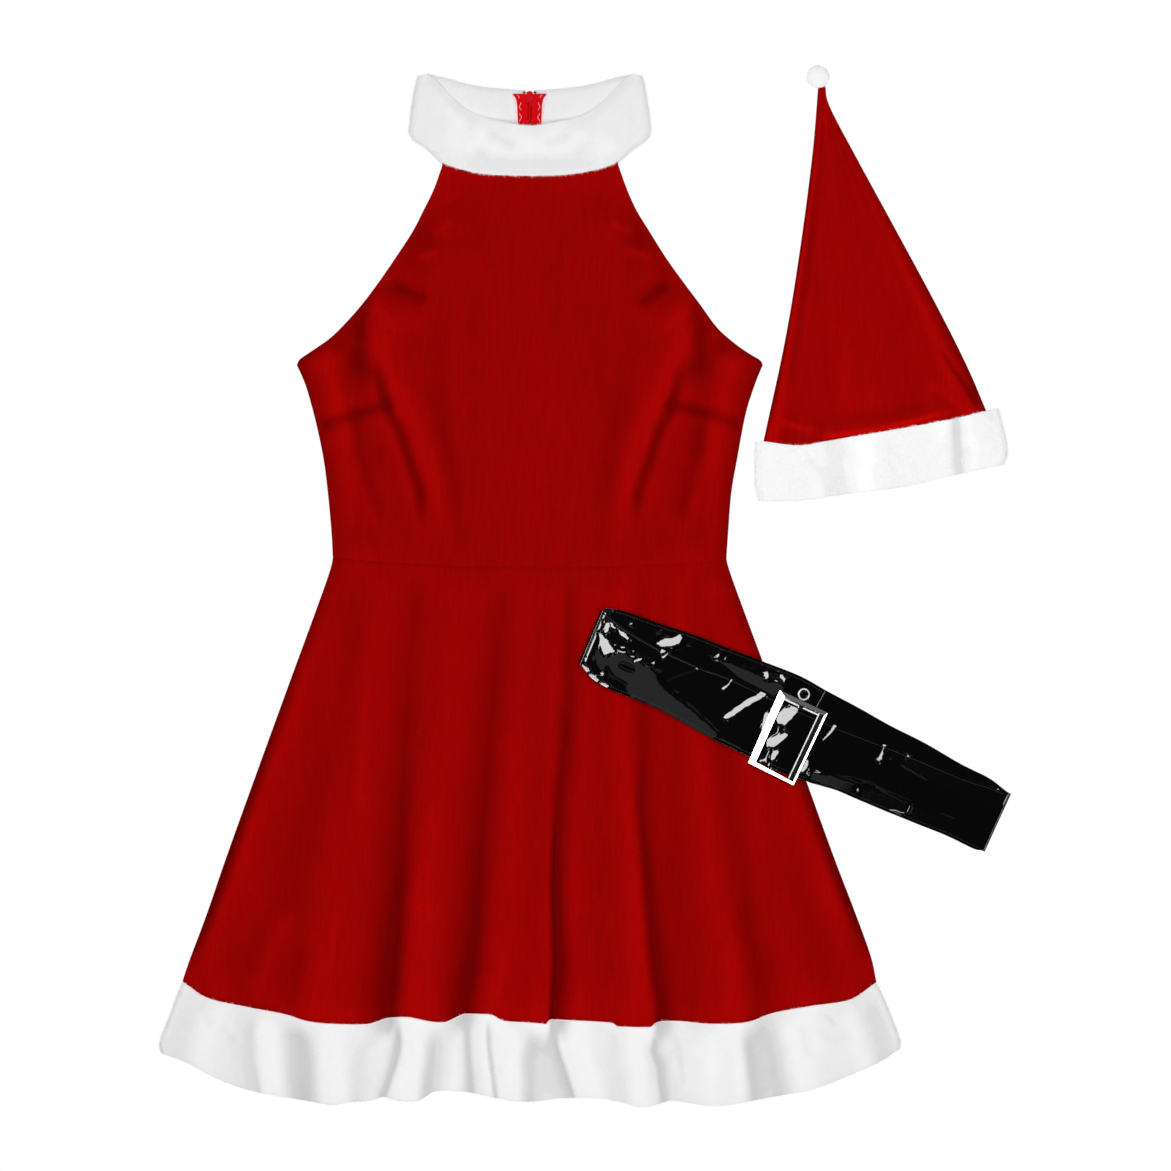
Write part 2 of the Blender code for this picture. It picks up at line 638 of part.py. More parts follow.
def build_collar():
    front = band_plan(COLLAR_FRONT_TOP, NECK, COLLAR_LEFT, COLLAR_RIGHT, 81)
    back = band_plan(COLLAR_BACK_TOP, NECK, COLLAR_LEFT, COLLAR_RIGHT, 81)
    length = line_run(dense_line(NECK))[-1]
    inset = (COLLAR_FUR + SEAM_GAP / 2) * MM / GRID
    shares = matched_shares(BODICE_COLUMNS, length, inset)
    halves = [0, 0.1, 0.2, 0.3, 0.38, 0.42, 0.455, 0.49]
    back_shares = np.array(halves + [1 - s for s in halves[::-1]])
    half = ZIP_CHANNEL / 2 * MM / GRID
    fur_band(
        "collar", "dress", (front, back), COLLAR_FUR, collar_height, shares, back_shares, half, back_fur_share
    )


# Zip: rows down the tape, the tape's outer half width in grid steps, and its middle height
TAPE_RUN = [
    (93.5, 17.0, 5.7), (104, 15.0, 5.7), (124, 11.5, 5.7), (150, 11.0, 5.7), (177, 11.0, 5.7),
    (188, 11.0, 3.8), (200, 11.0, 2.0), (204, 11.0, 1.9), (300, 11.0, 1.9), (420, 11.0, 1.9),
    (560, 11.0, 1.9), (620, 11.0, 1.9),
]
SLIDER_ROW = 97.0
PULL_AXIS_HEIGHT = 2.75
PULL_THICKNESS = 1.0


def build_zip():
    inner = TAPE_GAP / 2 * MM / GRID
    for side, sign in (("left", -1), ("right", 1)):
        plan, heights = [], []
        for row, outer, height in TAPE_RUN:
            plan.append([(ZIP_COLUMN + sign * inner, row), (ZIP_COLUMN + sign * outer, row)])
            heights.append([height, height])
        plan, heights = np.array(plan), np.array(heights)
        name = f"zip_tape_{side}"
        thicken(add(name, surface(name, place(plan, heights)), "dress", "zip"), TAPE)


def millimetres(points):
    return [(x * MM, y * MM) for x, y in points]


def bar_between(name, low, high):
    """Box between two corner points in millimetres."""
    size = [(b - a) * MM for a, b in zip(low, high)]
    centre = [(a + b) / 2 * MM for a, b in zip(low, high)]
    return block(name, size, centre)


def build_slider():
    """Zip slider: plate inside the collar, plate outside it, neck between, and the pull's arch."""
    shield = [
        (-3.3, 3.2), (-2.4, 5.4), (2.4, 5.4), (3.3, 3.2),
        (2.6, -2.6), (0.9, -5.0), (-0.9, -5.0), (-2.6, -2.6),
    ]
    wider = [(x * 1.05, y) for x, y in shield]
    plate = cut_out("zip_slider", [millimetres(shield)], 6.4 * MM, 7.8 * MM)
    slider = add("zip_slider", plate, "dress", "zip_metal", layout_point(ZIP_COLUMN, SLIDER_ROW))
    join(slider, [
        bar_between("neck", (-0.9, -2.0, 4.2), (0.9, 4.0, 7.0)),
        cut_out("outer_plate", [millimetres(wider)], 3.7 * MM, 4.8 * MM),
        bar_between("foot_up", (-0.7, 3.2, 1.0), (0.7, 4.8, 4.2)),
        bar_between("foot_down", (-0.7, -4.4, 1.0), (0.7, -2.8, 4.2)),
        bar_between("arch", (-0.7, -4.0, 1.0), (0.7, 4.4, 1.9)),
    ])


def build_pull():
    """Zip pull: a ring round the slider's arch with a flat tab, hanging down the back."""
    outline = [
        (-2.7, 0.5), (2.7, 0.5), (2.7, -7.0), (3.3, -12.0), (3.3, -20.0), (2.2, -22.0), (-2.2, -22.0),
        (-3.3, -20.0), (-3.3, -12.0), (-2.7, -7.0),
    ]
    window = [(-1.5, -0.5), (1.5, -0.5), (1.5, -6.4), (-1.5, -6.4)]
    half = PULL_THICKNESS / 2 * MM
    mesh = cut_out("zip_pull", [millimetres(outline), millimetres(window)], -half, half)
    add("zip_pull", mesh, "dress", "zip_metal", layout_point(ZIP_COLUMN, SLIDER_ROW, PULL_AXIS_HEIGHT))


def build_hat():
    columns = even(17)
    down = np.array([0, 0.05, 0.12, 0.2, 0.29, 0.38, 0.47, 0.56, 0.65, 0.74, 0.82, 0.89, 0.95, 1.0])
    sides = sample(HAT_LEFT, down), sample(HAT_RIGHT, down)
    plan = patch(sample(HAT_TIP, columns), sample(HAT_SEAM, columns), *sides)
    cloth_panel("hat_front", plan, heights_of(plan, hat_height), "hat")
    few = columns[::2]
    plan = patch(sample(HAT_TIP, few), sample(HAT_SEAM, few), *sides)
    flat_panel("hat_back", plan, "hat")
    top = moved_down(HAT_BAND_TOP, GAP_STEPS + 0.25)
    left = [top[0]] + HAT_BAND_LEFT[1:]
    right = [top[-1]] + HAT_BAND_RIGHT[1:]
    band = band_plan(top, HAT_BAND_EDGE, left, right, 81)

    def band_height(column, row):
        return max(HAT_MID, hat_height(min(max(column, 790.0), 960.0), 432.0) - 0.05 * (row - 430.0))

    fur_band("hat_band", "hat", (band, band), HAT_FUR, band_height, even(23), even(13))


def build_pompom():
    """Round fur ball at the hat's tip, pressed a little flat on the table."""
    shape = bmesh.new()
    radius, half = POMPOM["radius"] * MM, POMPOM["height"] * MM
    squash = Matrix.Diagonal((radius, radius, half, 1.0))
    bmesh.ops.create_uvsphere(shape, u_segments=20, v_segments=12, radius=1.0, matrix=squash)
    mesh = bpy.data.meshes.new("hat_pompom")
    shape.to_mesh(mesh)
    shape.free()
    mesh.shade_smooth()
    add("hat_pompom", mesh, "hat", "fur", layout_point(POMPOM["column"], POMPOM["row"], POMPOM["height"]))


def belt_lie(column):
    """Height of the surface that the belt rests on: the skirt, then down to the table."""
    table = np.array(BELT_LIE)
    return np.interp(column, table[:, 0], table[:, 1])


def belt_edge_below(points):
    """The strap's lower edge, one strap width from its upper edge."""
    line = np.array(points)
    along = np.gradient(line, axis=0)
    along /= np.linalg.norm(along, axis=1, keepdims=True)
    across = np.column_stack([-along[:, 1], along[:, 0]])
    return line + across * BELT_WIDTH * MM / GRID


def build_belt():
    """One strap: overlapping end, back layer, left fold, front layer, right fold, tucked-in end."""
    width = BELT_WIDTH * MM / GRID
    back_top = sample(BELT_BACK_TOP, even(61))
    back_low = belt_edge_below(back_top)
    fold_left = np.array([BELT_FRONT_TOP[0], BELT_FRONT_LOW[0]], float)
    fold_right = np.array([BELT_FRONT_TOP[-1], BELT_FRONT_LOW[-1]], float)
    for k in range(61):
        near_left = float(ease(1 - k / 14))
        near_right = float(ease(1 - (60 - k) / 14))
        back_low[k] += (fold_left[1] - back_low[k]) * near_left + (fold_right[1] - back_low[k]) * near_right
    back_top[0], back_top[-1] = fold_left[0], fold_right[0]
    buckle_mid = np.mean(BUCKLE_OUTER, axis=0)
    trial = (sample(BELT_FRONT_TOP, even(401)) + sample(BELT_FRONT_LOW, even(401))) / 2
    at_buckle = np.argmin(np.linalg.norm(trial - buckle_mid, axis=1)) / 400
    shares = np.array(sorted(list(even(33)) + list(at_buckle + 0.0061 * np.arange(-8.0, 9.0))))
    front_top = sample(BELT_FRONT_TOP, shares)
    front_low = sample(BELT_FRONT_LOW, shares)
    count = len(shares)
    sections = []

    def flat_section(top, low, height):
        """Strap section lying flat, its middle at a height above what the belt lies on."""
        pair = np.array([top, low])
        sections.append(place(pair, belt_lie(pair[:, 0]) + height))

    def fold_section(edge, outward, angle, radius, middle):
        """Strap section part way round a fold, between its back and front layers."""
        spots = edge + outward * radius * math.sin(angle) * MM / GRID
        sections.append(place(spots, belt_lie(edge[:, 0]) + middle - radius * math.cos(angle)))

    low_mid = STRAP / 2
    high_mid = low_mid + BELT_LOOP
    centre = (low_mid + high_mid) / 2
    turns = np.radians([30, 60, 90, 120, 150])
    out_left = np.array([-0.94, -0.34])
    out_right = np.array([0.91, 0.42])
    inset = (BELT_LOOP + STRAP) / 2 * MM / GRID

    def pulled_in(line, outward):
        return line - outward * inset

    end = BELT_LAP["left_end"]
    for k in range(60, -1, -1):
        if back_top[k][0] < end:
            lift = BELT_LAP["lift"] * float(ease((back_top[k][0] - 745.0) / 30.0))
            step_in = pulled_in(np.array([back_top[k], back_low[k]]), out_left * float(ease(1 - k / 5)))
            flat_section(step_in[0], step_in[1], low_mid + lift)
    for angle in turns:
        fold_section(pulled_in(fold_left, out_left), out_left, angle, BELT_LOOP / 2, centre)
    for k in range(count):
        top, low = front_top[k], front_low[k]
        at_left, at_right = float(ease(1 - shares[k] * 9)), float(ease(1 - (1 - shares[k]) * 9))
        shift = -out_left * inset * at_left - out_right * inset * at_right
        along = np.dot((top + low) / 2 - buckle_mid, (0.906, 0.423)) * GRID / MM
        lift = BUCKLE_BAR["lift"] * math.exp(-((along / 8.5) ** 4))
        flat_section(top + shift, low + shift, high_mid + lift)
    for angle in turns[::-1]:
        fold_section(pulled_in(fold_right, out_right), out_right, angle, BELT_LOOP / 2, centre)
    for k in range(60, -1, -1):
        if back_top[k][0] > BELT_LAP["right_end"]:
            shift = -out_right * inset * float(ease(1 - (60 - k) / 5))
            flat_section(back_top[k] + shift, back_low[k] + shift, low_mid)
    thicken(add("belt_strap", surface("belt_strap", np.array(sections)), "belt", "patent"), STRAP)


def build_buckle():
    """Frame with a ridge between two slopes all round, and a bar under the strap."""
    middle = np.mean(BUCKLE_OUTER, axis=0)
    outer = (np.array(BUCKLE_OUTER) - middle) * (1, -1) * GRID
    window = (np.array(BUCKLE_WINDOW) - middle) * (1, -1) * GRID
    ridge = outer * 0.45 + window * 0.55
    rings = []
    for corners, height in (
        (outer, 0.0), (outer, BUCKLE_RIM), (ridge, BUCKLE_RIDGE), (window, BUCKLE_RIM), (window, 0.0),
    ):
        rings.append(np.column_stack([corners, np.full(4, height * MM)]))
    verts = [tuple(p) for ring in rings for p in ring]
    faces = []
    for a in range(len(rings)):
        for k in range(4):
            n, b = (k + 1) % 4, (a + 1) % len(rings)
            faces.append((a * 4 + k, a * 4 + n, b * 4 + n, b * 4 + k))
    mesh = bpy.data.meshes.new("buckle_frame")
    mesh.from_pydata(verts, [], faces)
    lies = float(belt_lie(middle[0])) + BUCKLE_BASE
    frame = add("buckle_frame", facing_out(mesh), "belt", "chrome", layout_point(*middle, lies), BELT_TILT)

    along = (outer[1] - outer[0]) / np.linalg.norm(outer[1] - outer[0])
    half = along * BUCKLE_BAR["width"] / 2 * MM
    top = (outer[0] + outer[1] + window[0] + window[1]) / 4
    low = (outer[2] + outer[3] + window[2] + window[3]) / 4
    outline = [top - half, top + half, low + half, low - half]
    join(frame, [cut_out("centre_bar", [outline], BUCKLE_BAR["low"] * MM, BUCKLE_BAR["high"] * MM)])


def build_press_stud():
    """Press stud's cap on the strap's overlapping end: a rim round a low dome."""
    radius, high = PRESS_STUD["radius"], PRESS_STUD["height"]
    profile = [
        (0.0, 1.0), (0.18, 1.0), (0.4, 0.9), (0.62, 0.45), (0.68, 0.55), (0.86, 0.9), (1.0, 0.55),
        (1.0, 0.0), (0.0, 0.0),
    ]
    points = [(radius * reach * MM, 0, high * up * MM) for reach, up in profile]
    mesh = bpy.data.meshes.new("press_stud")
    mesh.from_pydata(points, [(k, k + 1) for k in range(len(points) - 1)], [])
    lies = float(belt_lie(PRESS_STUD["column"])) + STRAP + BELT_LAP["lift"] + SEAM_GAP
    place_at = layout_point(PRESS_STUD["column"], PRESS_STUD["row"], lies)
    stud = add("press_stud", mesh, "belt", "chrome", place_at, BELT_TILT)
    turn = stud.modifiers.new("turned", "SCREW")
    turn.steps = 20
    turn.render_steps = 20
    turn.use_merge_vertices = True
    turn.merge_threshold = 0.00001
    turn.use_smooth_shade = True


for item in list(bpy.data.objects):
    bpy.data.objects.remove(item)
COSTUME = bpy.data.collections.new("santa_dress_costume")
CUTTERS = bpy.data.collections.new("cutters")
for collection in (COSTUME, CUTTERS):
    bpy.context.scene.collection.children.link(collection)
GROUPS = {name: bpy.data.objects.new(name, None) for name in ("dress", "hat", "belt")}
for empty in GROUPS.values():
    COSTUME.objects.link(empty)
LOOKS = {
    "velvet": look("red_velvet", (0.30, 0.0, 0.0), 0.85),
    "fur": look("white_fur", (0.88, 0.88, 0.88), 0.95),
    "zip": look("red_zip", (0.55, 0.01, 0.02), 0.6),
    "zip_metal": look("red_coated_metal", (0.5, 0.01, 0.02), 0.4, 0.3),
    "patent": look("black_patent", (0.004, 0.004, 0.004), 0.08),
    "chrome": look("chrome", (0.8, 0.8, 0.82), 0.12, 1.0),
}
build_bodice()
build_skirt()
build_hem()
build_collar()
build_zip()
build_slider()
build_pull()
build_hat()
build_pompom()
build_belt()
build_buckle()
build_press_stud()
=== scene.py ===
"""Santa dress costume laid flat: the looks of its velvet dress, pointed hat and patent belt.

Units are metres. Y points to the collar and Z up from the table. Outlines are given on a layout
grid: columns count to the right and rows count down, GRID metres a step. Heights in the tables
are in millimetres above the table.
"""

import math

import bmesh
import bpy
import numpy as np
from mathutils import Matrix


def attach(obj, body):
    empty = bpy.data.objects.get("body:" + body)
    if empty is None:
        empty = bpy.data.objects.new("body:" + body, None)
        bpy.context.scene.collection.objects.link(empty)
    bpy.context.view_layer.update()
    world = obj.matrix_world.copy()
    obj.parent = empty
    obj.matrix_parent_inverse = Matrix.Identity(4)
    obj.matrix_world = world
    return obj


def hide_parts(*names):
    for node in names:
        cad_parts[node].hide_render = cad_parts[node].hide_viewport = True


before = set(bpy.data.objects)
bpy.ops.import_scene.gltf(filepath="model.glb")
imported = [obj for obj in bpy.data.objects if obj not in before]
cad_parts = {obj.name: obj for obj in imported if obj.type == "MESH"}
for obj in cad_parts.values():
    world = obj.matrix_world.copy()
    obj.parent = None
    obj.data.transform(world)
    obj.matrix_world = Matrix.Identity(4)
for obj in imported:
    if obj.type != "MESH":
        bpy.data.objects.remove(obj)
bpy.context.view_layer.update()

MM = 0.001
GRID = 0.00095
STEP = MM / GRID
LAYOUT_MID = 585.5

# Cloth, fur and strap: thicknesses, and heights of the middle of a front layer
SEAM_GAP = 0.3
VELVET = 1.2
COLLAR_FUR = 8.0
HEM_FUR = 7.0
HAT_FUR = 6.0
STRAP = 1.8
EDGE_SHARE = 0.5
FRONT_EDGE = VELVET + SEAM_GAP + VELVET / 2
HEM_MID = 1.5 * HEM_FUR + SEAM_GAP
COLLAR_MID = 1.5 * COLLAR_FUR + SEAM_GAP
HAT_MID = 1.5 * HAT_FUR + SEAM_GAP
WAIST_MID = 6.8

# Layout: steps over which the front rises from its side seams, middle column, last row of the skirt's folds
SIDE_RISE = 40.0
MID_COLUMN = 530.0
SKIRT_END = 1010.0

# Edge of a cloth panel, turned under: millimetres outward and down
EDGE_TURNS = [(0.35, 0.25), (0.45, 0.65), (0.25, 1.05), (-0.5, 1.2), (-4.0, 1.2)]

# Share of a crease's length over which each end fades out, and the top of the velvet's painted shade, which
# lightens its ridges
FADE_PART = 0.22
PAINTED_SHADE_TOP = 0.54

# Fur strands: width, lowest upward normal of fur that is lit from above, limits between the steps of painted
# shade
STRAND_WIDTH = 0.36
FACING_DOWN = -0.2
PAINTED_SHADE_LIMITS = [-0.5, -0.27, -0.1, 0.1]

# Sides and rings of the smallest beads
FEW_SIDES = (6, 4)

# Centre-back zip: its column, gap between its tapes, channel in the fur, fur thickness under a tape,
# grid steps to each side in which the fur is pressed and has no strands, and height that ends below
ZIP_COLUMN = 529.6
TAPE_GAP = 3.2
ZIP_CHANNEL = 9.4
TAPE_FUR = 5.0
TAPE_REACH = 18.5
ZIP_CLEAR = 9.5

# Dress outlines, as (column, row)
ARMHOLE_LEFT = [
    (443.5, 164), (434, 190), (424, 210), (413, 231), (396, 257), (379.5, 281),
    (363, 303), (346, 322.5), (330, 338), (313, 350), (300, 359), (297, 365),
]
ARMHOLE_RIGHT = [
    (617, 163), (626, 188), (636, 210), (649, 231), (666, 258), (682.5, 281),
    (699, 303), (717, 327.5), (735.6, 344), (750, 354), (760, 360), (762.5, 365),
]
SIDE_LEFT = [(297, 365), (306, 386), (315.5, 420), (323.5, 458), (328, 493), (331.5, 531), (333, 558)]
SIDE_RIGHT = [(762.5, 365), (755.5, 382), (745.6, 413), (737, 458), (731, 493), (728, 531), (726, 560)]
NECK = [
    (443.5, 164), (462, 169.5), (480, 173.5), (507, 175.5), (553, 175.5), (580, 173), (599, 169),
    (617, 163),
]
WAIST = [(333, 560), (400, 565), (470, 568), (530, 568.5), (590, 568), (660, 565), (726, 560)]
SKIRT_LEFT = [(333, 560), (323.5, 590), (276, 720), (229, 850), (207, 914), (190, 960), (183, 981)]
SKIRT_RIGHT = [(726, 560), (736, 590), (784, 720), (831, 850), (853.5, 909), (870, 955), (876, 982)]
HEM_SEAM = [
    (183, 981), (207, 997), (246, 1006), (284, 1013), (310, 1020.5), (340, 1023), (369, 1023),
    (386, 1018), (407, 1016), (431, 1020.5), (445, 1021.3), (457.5, 1016), (465, 1013.4), (480, 1013),
    (492, 1013.8), (498, 1017), (506, 1020), (526, 1021.2), (541, 1022.4), (546.5, 1022.8),
    (549.5, 1019.2), (555, 1018.9), (585, 1020), (608, 1021.4), (613, 1022.5), (617, 1025),
    (622, 1025.6), (637, 1026), (645, 1025.9), (651, 1025.6), (656, 1022), (662, 1020.7),
    (680, 1020.3), (709, 1022.7), (747, 1021), (774, 1012), (812, 1005), (850, 999), (876, 982),
]
HEM_EDGE = [
    (162, 1053), (190, 1063.5), (212, 1075.6), (245, 1088.5), (279, 1095.4), (314, 1101.4),
    (334, 1104), (348, 1101.4), (370, 1100), (384, 1096), (400, 1099.7), (419, 1099.7),
    (434, 1091), (452, 1090), (477.5, 1093), (496, 1097), (527, 1101), (564, 1097.5),
    (598, 1097), (622, 1101.4), (641, 1106.3), (658, 1103), (674, 1099.7), (709, 1105),
    (735, 1103), (778, 1095.4), (812, 1088.5), (847, 1075.6), (880, 1061), (900, 1048),
]
HEM_SEAM_BACK = [
    (183, 981), (246, 1004), (310, 1014), (400, 1019), (530, 1021),
    (660, 1019), (750, 1014), (812, 1004), (876, 982),
]
HEM_EDGE_BACK = [
    (162, 1053), (212, 1072), (279, 1088), (348, 1094), (400, 1093), (443, 1088), (496, 1092),
    (564, 1094), (641, 1096), (709, 1096), (778, 1090), (847, 1071), (900, 1048),
]
HEM_LEFT = [(183, 981), (175, 1003), (167, 1024), (160, 1043), (162, 1053)]
HEM_RIGHT = [(876, 982), (886, 1005), (893, 1022), (899, 1038), (900, 1048)]
COLLAR_LEFT = [(418, 77), (416, 86), (414, 98), (411, 120), (411, 136), (427, 148), (443.5, 164)]
COLLAR_RIGHT = [(642, 76), (644, 86), (646, 98), (649, 120), (649, 136), (633, 148), (617, 163)]
COLLAR_BACK_TOP = [
    (418, 77), (427, 74), (443, 77), (480, 86), (530, 89.5), (580, 86), (617, 77), (633, 74), (642, 76),
]
COLLAR_FRONT_TOP = [
    (418, 77), (427, 74.5), (436, 80), (446, 91), (459, 103.5), (478, 115.5), (505, 122.5), (530, 126),
    (555, 122.5), (582, 115.5), (601, 103.5), (614, 91), (624, 80), (633, 74.5), (642, 76),
]

# Creases of the front collar fur: height, half width in grid steps, line along it
COLLAR_CREASES = [
    (-1.1, 5.5, [(484, 131), (494, 136), (506, 143), (519, 146)]),
    (-1.0, 5.5, [(541, 145), (552, 142), (561, 138.5), (572, 132)]),
    (-0.9, 5.0, [(470, 148), (492, 156), (512, 160)]),
    (-0.8, 5.0, [(556, 158), (580, 152), (600, 142)]),
]

# Hat outlines, as (column, row)
HAT_TIP = [(819, 84.5), (825, 84.5)]
HAT_LEFT = [(819, 84.5), (813, 155), (800, 254), (785, 344), (764, 441)]
HAT_RIGHT = [(825, 84.5), (830, 107), (860, 164), (896, 230), (938, 308), (968, 368), (986, 410.5)]
HAT_SEAM = [(764, 441), (800, 445), (830, 440), (896, 429), (950, 419), (986, 410.5)]
HAT_BAND_TOP = [
    (756, 441), (764, 442), (800, 445), (830, 440), (896, 429), (950, 419), (984, 411), (998, 408),
]
HAT_BAND_EDGE = [(758.6, 500.5), (800, 500), (860, 492), (908, 486), (950, 476), (1004, 464)]
HAT_BAND_LEFT = [(756, 441), (755.5, 460), (755.5, 480), (758.6, 500.5)]
HAT_BAND_RIGHT = [(998, 408), (1002, 424), (1007, 449), (1004, 464)]
POMPOM = {"column": 818.2, "row": 76.5, "radius": 11.1, "height": 9.0}

# Fold lines of the skirt front, left to right: height at the waist, height at the hem, how sharp
# the fold is, line down it
SKIRT_FOLDS = [
    (5.0, 13.0, 0.0, [(c + 15, r) for c, r in SKIRT_LEFT]),
    (6.0, 14.5, 0.0, [(352, 600), (318, 750), (285, 850), (250, 930), (232, 1000)]),
    (8.5, 22.0, 0.0, [
        (380, 610), (370, 660), (368, 720), (357, 800), (345, 850), (337, 900), (333, 940), (325, 1005),
    ]),
    (6.3, 11.5, 0.9, [
        (415, 601), (409, 700), (404, 750), (401, 850), (399, 890), (395, 930), (391, 970), (389, 1005),
    ]),
    (8.5, 21.5, 0.0, [
        (460, 610), (457, 650), (448, 700), (442, 750), (435, 800), (428, 850), (421, 900), (414, 970),
        (411, 1010),
    ]),
    (5.6, 11.5, 0.9, [
        (501, 610), (497, 650), (492, 700), (488, 750), (485, 800), (480, 850), (475, 930), (470, 970),
        (464, 1005),
    ]),
    (8.5, 21.0, 0.0, [
        (532, 610), (527, 650), (522, 700), (519, 750), (515, 800), (511, 850), (505, 930), (502, 970),
        (497, 1005),
    ]),
    (8.3, 20.5, 0.0, [
        (560, 610), (556, 650), (553, 700), (550, 750), (548, 800), (547, 870), (546.5, 930), (547, 1022),
    ]),
    (6.4, 11.0, 0.9, [
        (568, 610), (570, 700), (564, 750), (560, 800), (556, 850), (555, 890), (557, 930), (558, 965),
        (555, 1000), (552, 1022),
    ]),
    (8.0, 18.5, 0.0, [(590, 610), (588, 700), (580, 800), (576, 890), (578, 930), (584, 970), (582, 1005)]),
    (8.5, 21.0, 0.0, [
        (622, 610), (622, 700), (628, 760), (630, 800), (634, 850), (636, 890), (640, 930), (644, 970),
        (648, 1005),
    ]),
    (6.5, 12.0, 0.9, [
        (640, 620), (643, 700), (644, 750), (641, 800), (645, 850), (649, 890), (652, 930), (656, 970),
        (661, 1005),
    ]),
    (7.4, 16.0, 0.0, [
        (664, 620), (668, 750), (665, 800), (664, 850), (668, 890), (672, 930), (678, 970), (682, 1005),
    ]),
    (8.5, 21.5, 0.0, [
        (678, 610), (690, 680), (700, 750), (705, 800), (711, 850), (716, 890), (726, 930), (731, 970),
        (734, 1000),
    ]),
    (7.0, 15.5, 0.3, [(700, 620), (722, 700), (742, 850), (750, 930), (760, 970), (765, 1003)]),
    (6.5, 17.0, 0.0, [(712, 620), (738, 700), (757, 820), (762, 890), (770, 930), (793, 970), (806, 1003)]),
    (5.5, 13.5, 0.0, [(722, 600), (760, 700), (800, 820), (824, 900), (842, 950), (852, 995)]),
    (5.0, 12.5, 0.0, [(c - 15, r) for c, r in SKIRT_RIGHT]),
]
SKIRT_CREASES = [
    (1.4, 9.0, [(290, 905), (268, 960), (250, 1008)]),
    (-1.2, 8.0, [(306, 940), (294, 980), (288, 1016)]),
    (0.8, 6.0, [(372, 610), (366, 680), (362, 760), (360, 830)]),
    (-0.7, 8.0, [(556, 690), (568, 745), (572, 800)]),
    (0.9, 3.0, [(504, 950), (500, 985), (497, 1014)]),
    (0.8, 3.0, [(338, 900), (334, 940), (328, 985)]),
    (0.8, 3.0, [(418, 900), (414, 950), (410, 1005)]),
    (0.8, 3.0, [(640, 920), (643, 960), (647, 1010)]),
]

# Fold lines of the hem fur, left to right: height, how sharp the fold is, line down it
HEM_FOLDS = [
    (14.0, 0.0, [(215, 1005), (205, 1072)]),
    (12.8, 0.0, [(250, 1012), (248, 1050), (258, 1092)]),
    (16.5, 0.0, [(264, 1015), (266, 1095)]),
    (11.4, 0.2, [(296, 1020), (299, 1050), (301, 1098)]),
    (20.0, 0.0, [(330, 1025), (336, 1103)]),
    (17.2, 0.4, [(382, 1020), (370, 1042), (362, 1058), (358, 1098)]),
    (17.5, 0.0, [(393, 1018), (388, 1046), (375, 1098)]),
    (13.2, 1.0, [(399, 1018), (398, 1050), (393, 1069), (383, 1096)]),
    (18.8, 0.0, [(406, 1018), (405, 1050), (399, 1069), (391, 1097)]),
    (20.3, 0.0, [(416, 1018), (415, 1050), (410, 1099)]),
    (14.8, 0.2, [(440, 1023), (434, 1050), (430, 1092)]),
    (16.2, 0.0, [(458, 1016), (460, 1070), (458, 1090)]),
    (13.0, 0.9, [(466, 1014), (467, 1040), (469, 1070), (471, 1092)]),
    (17.0, 0.0, [(476, 1013), (477, 1060), (481, 1094)]),
    (17.8, 0.0, [(483, 1013), (484, 1045), (487, 1070), (490, 1096)]),
    (14.0, 1.0, [(487.5, 1014), (488.5, 1045), (491.5, 1070), (495.5, 1097)]),
    (19.0, 0.0, [(494, 1016), (495, 1045), (498, 1070), (501, 1097)]),
    (20.8, 0.0, [(508, 1020), (509, 1060), (509, 1098)]),
    (14.0, 0.0, [(540, 1022), (534, 1060), (532, 1100)]),
    (13.8, 0.0, [(547, 1022), (550, 1044), (556, 1070), (564, 1097)]),
    (13.2, 1.0, [(552, 1022), (556, 1046), (564, 1070), (573, 1097)]),
    (18.8, 0.0, [(559, 1022), (563, 1046), (571, 1070), (579, 1097)]),
    (20.6, 0.0, [(575, 1020), (582, 1060), (592, 1097)]),
    (19.4, 0.2, [(610, 1022), (616, 1050), (620, 1101)]),
    (21.0, 0.0, [(636, 1025), (638, 1060), (642, 1106)]),
    (19.0, 0.0, [(649, 1025), (647, 1050), (653, 1068), (657, 1101)]),
    (15.2, 1.0, [(655, 1025), (653, 1050), (659, 1068), (663, 1101)]),
    (18.0, 0.0, [(670, 1025), (668, 1050), (672, 1068), (675, 1101)]),
    (20.0, 0.0, [(704, 1022), (712, 1060), (712, 1105)]),
    (17.6, 0.0, [(732, 1022), (738, 1060), (740, 1102)]),
    (11.2, 0.2, [(748, 1020), (752, 1050), (758, 1098)]),
    (11.0, 0.2, [(760, 1018), (768, 1050), (776, 1096)]),
    (17.5, 0.0, [(797, 1008), (802, 1060), (808, 1090)]),
    (15.5, 0.0, [(846, 1000), (862, 1066)]),
]

# Fold lines of the bodice front: height above the rest of the panel, line down it
BODICE_FOLDS = [
    (8.5, [(330, 365), (345, 430), (352, 500), (352, 560)]),
    (6.0, [(355, 365), (355, 416), (370, 475), (376, 507), (380, 560)]),
    (13.0, [(378, 300), (378, 348), (402, 396), (417.5, 429), (430, 458), (440, 520), (440, 560)]),
    (8.5, [(450, 260), (440, 348), (445, 396), (452, 440), (458, 500), (462, 560)]),
    (11.0, [(530, 200), (530, 300), (530, 400), (530, 560)]),
    (8.5, [(612, 260), (620, 348), (614, 396), (607, 440), (600, 500), (597, 560)]),
    (13.0, [(683, 300), (681, 348), (659, 396), (641, 429), (632, 461), (622, 520), (620, 560)]),
    (6.0, [(705, 365), (703, 416), (692, 475), (686, 507), (680, 560)]),
    (8.5, [(730, 365), (715, 430), (708, 500), (708, 560)]),
]

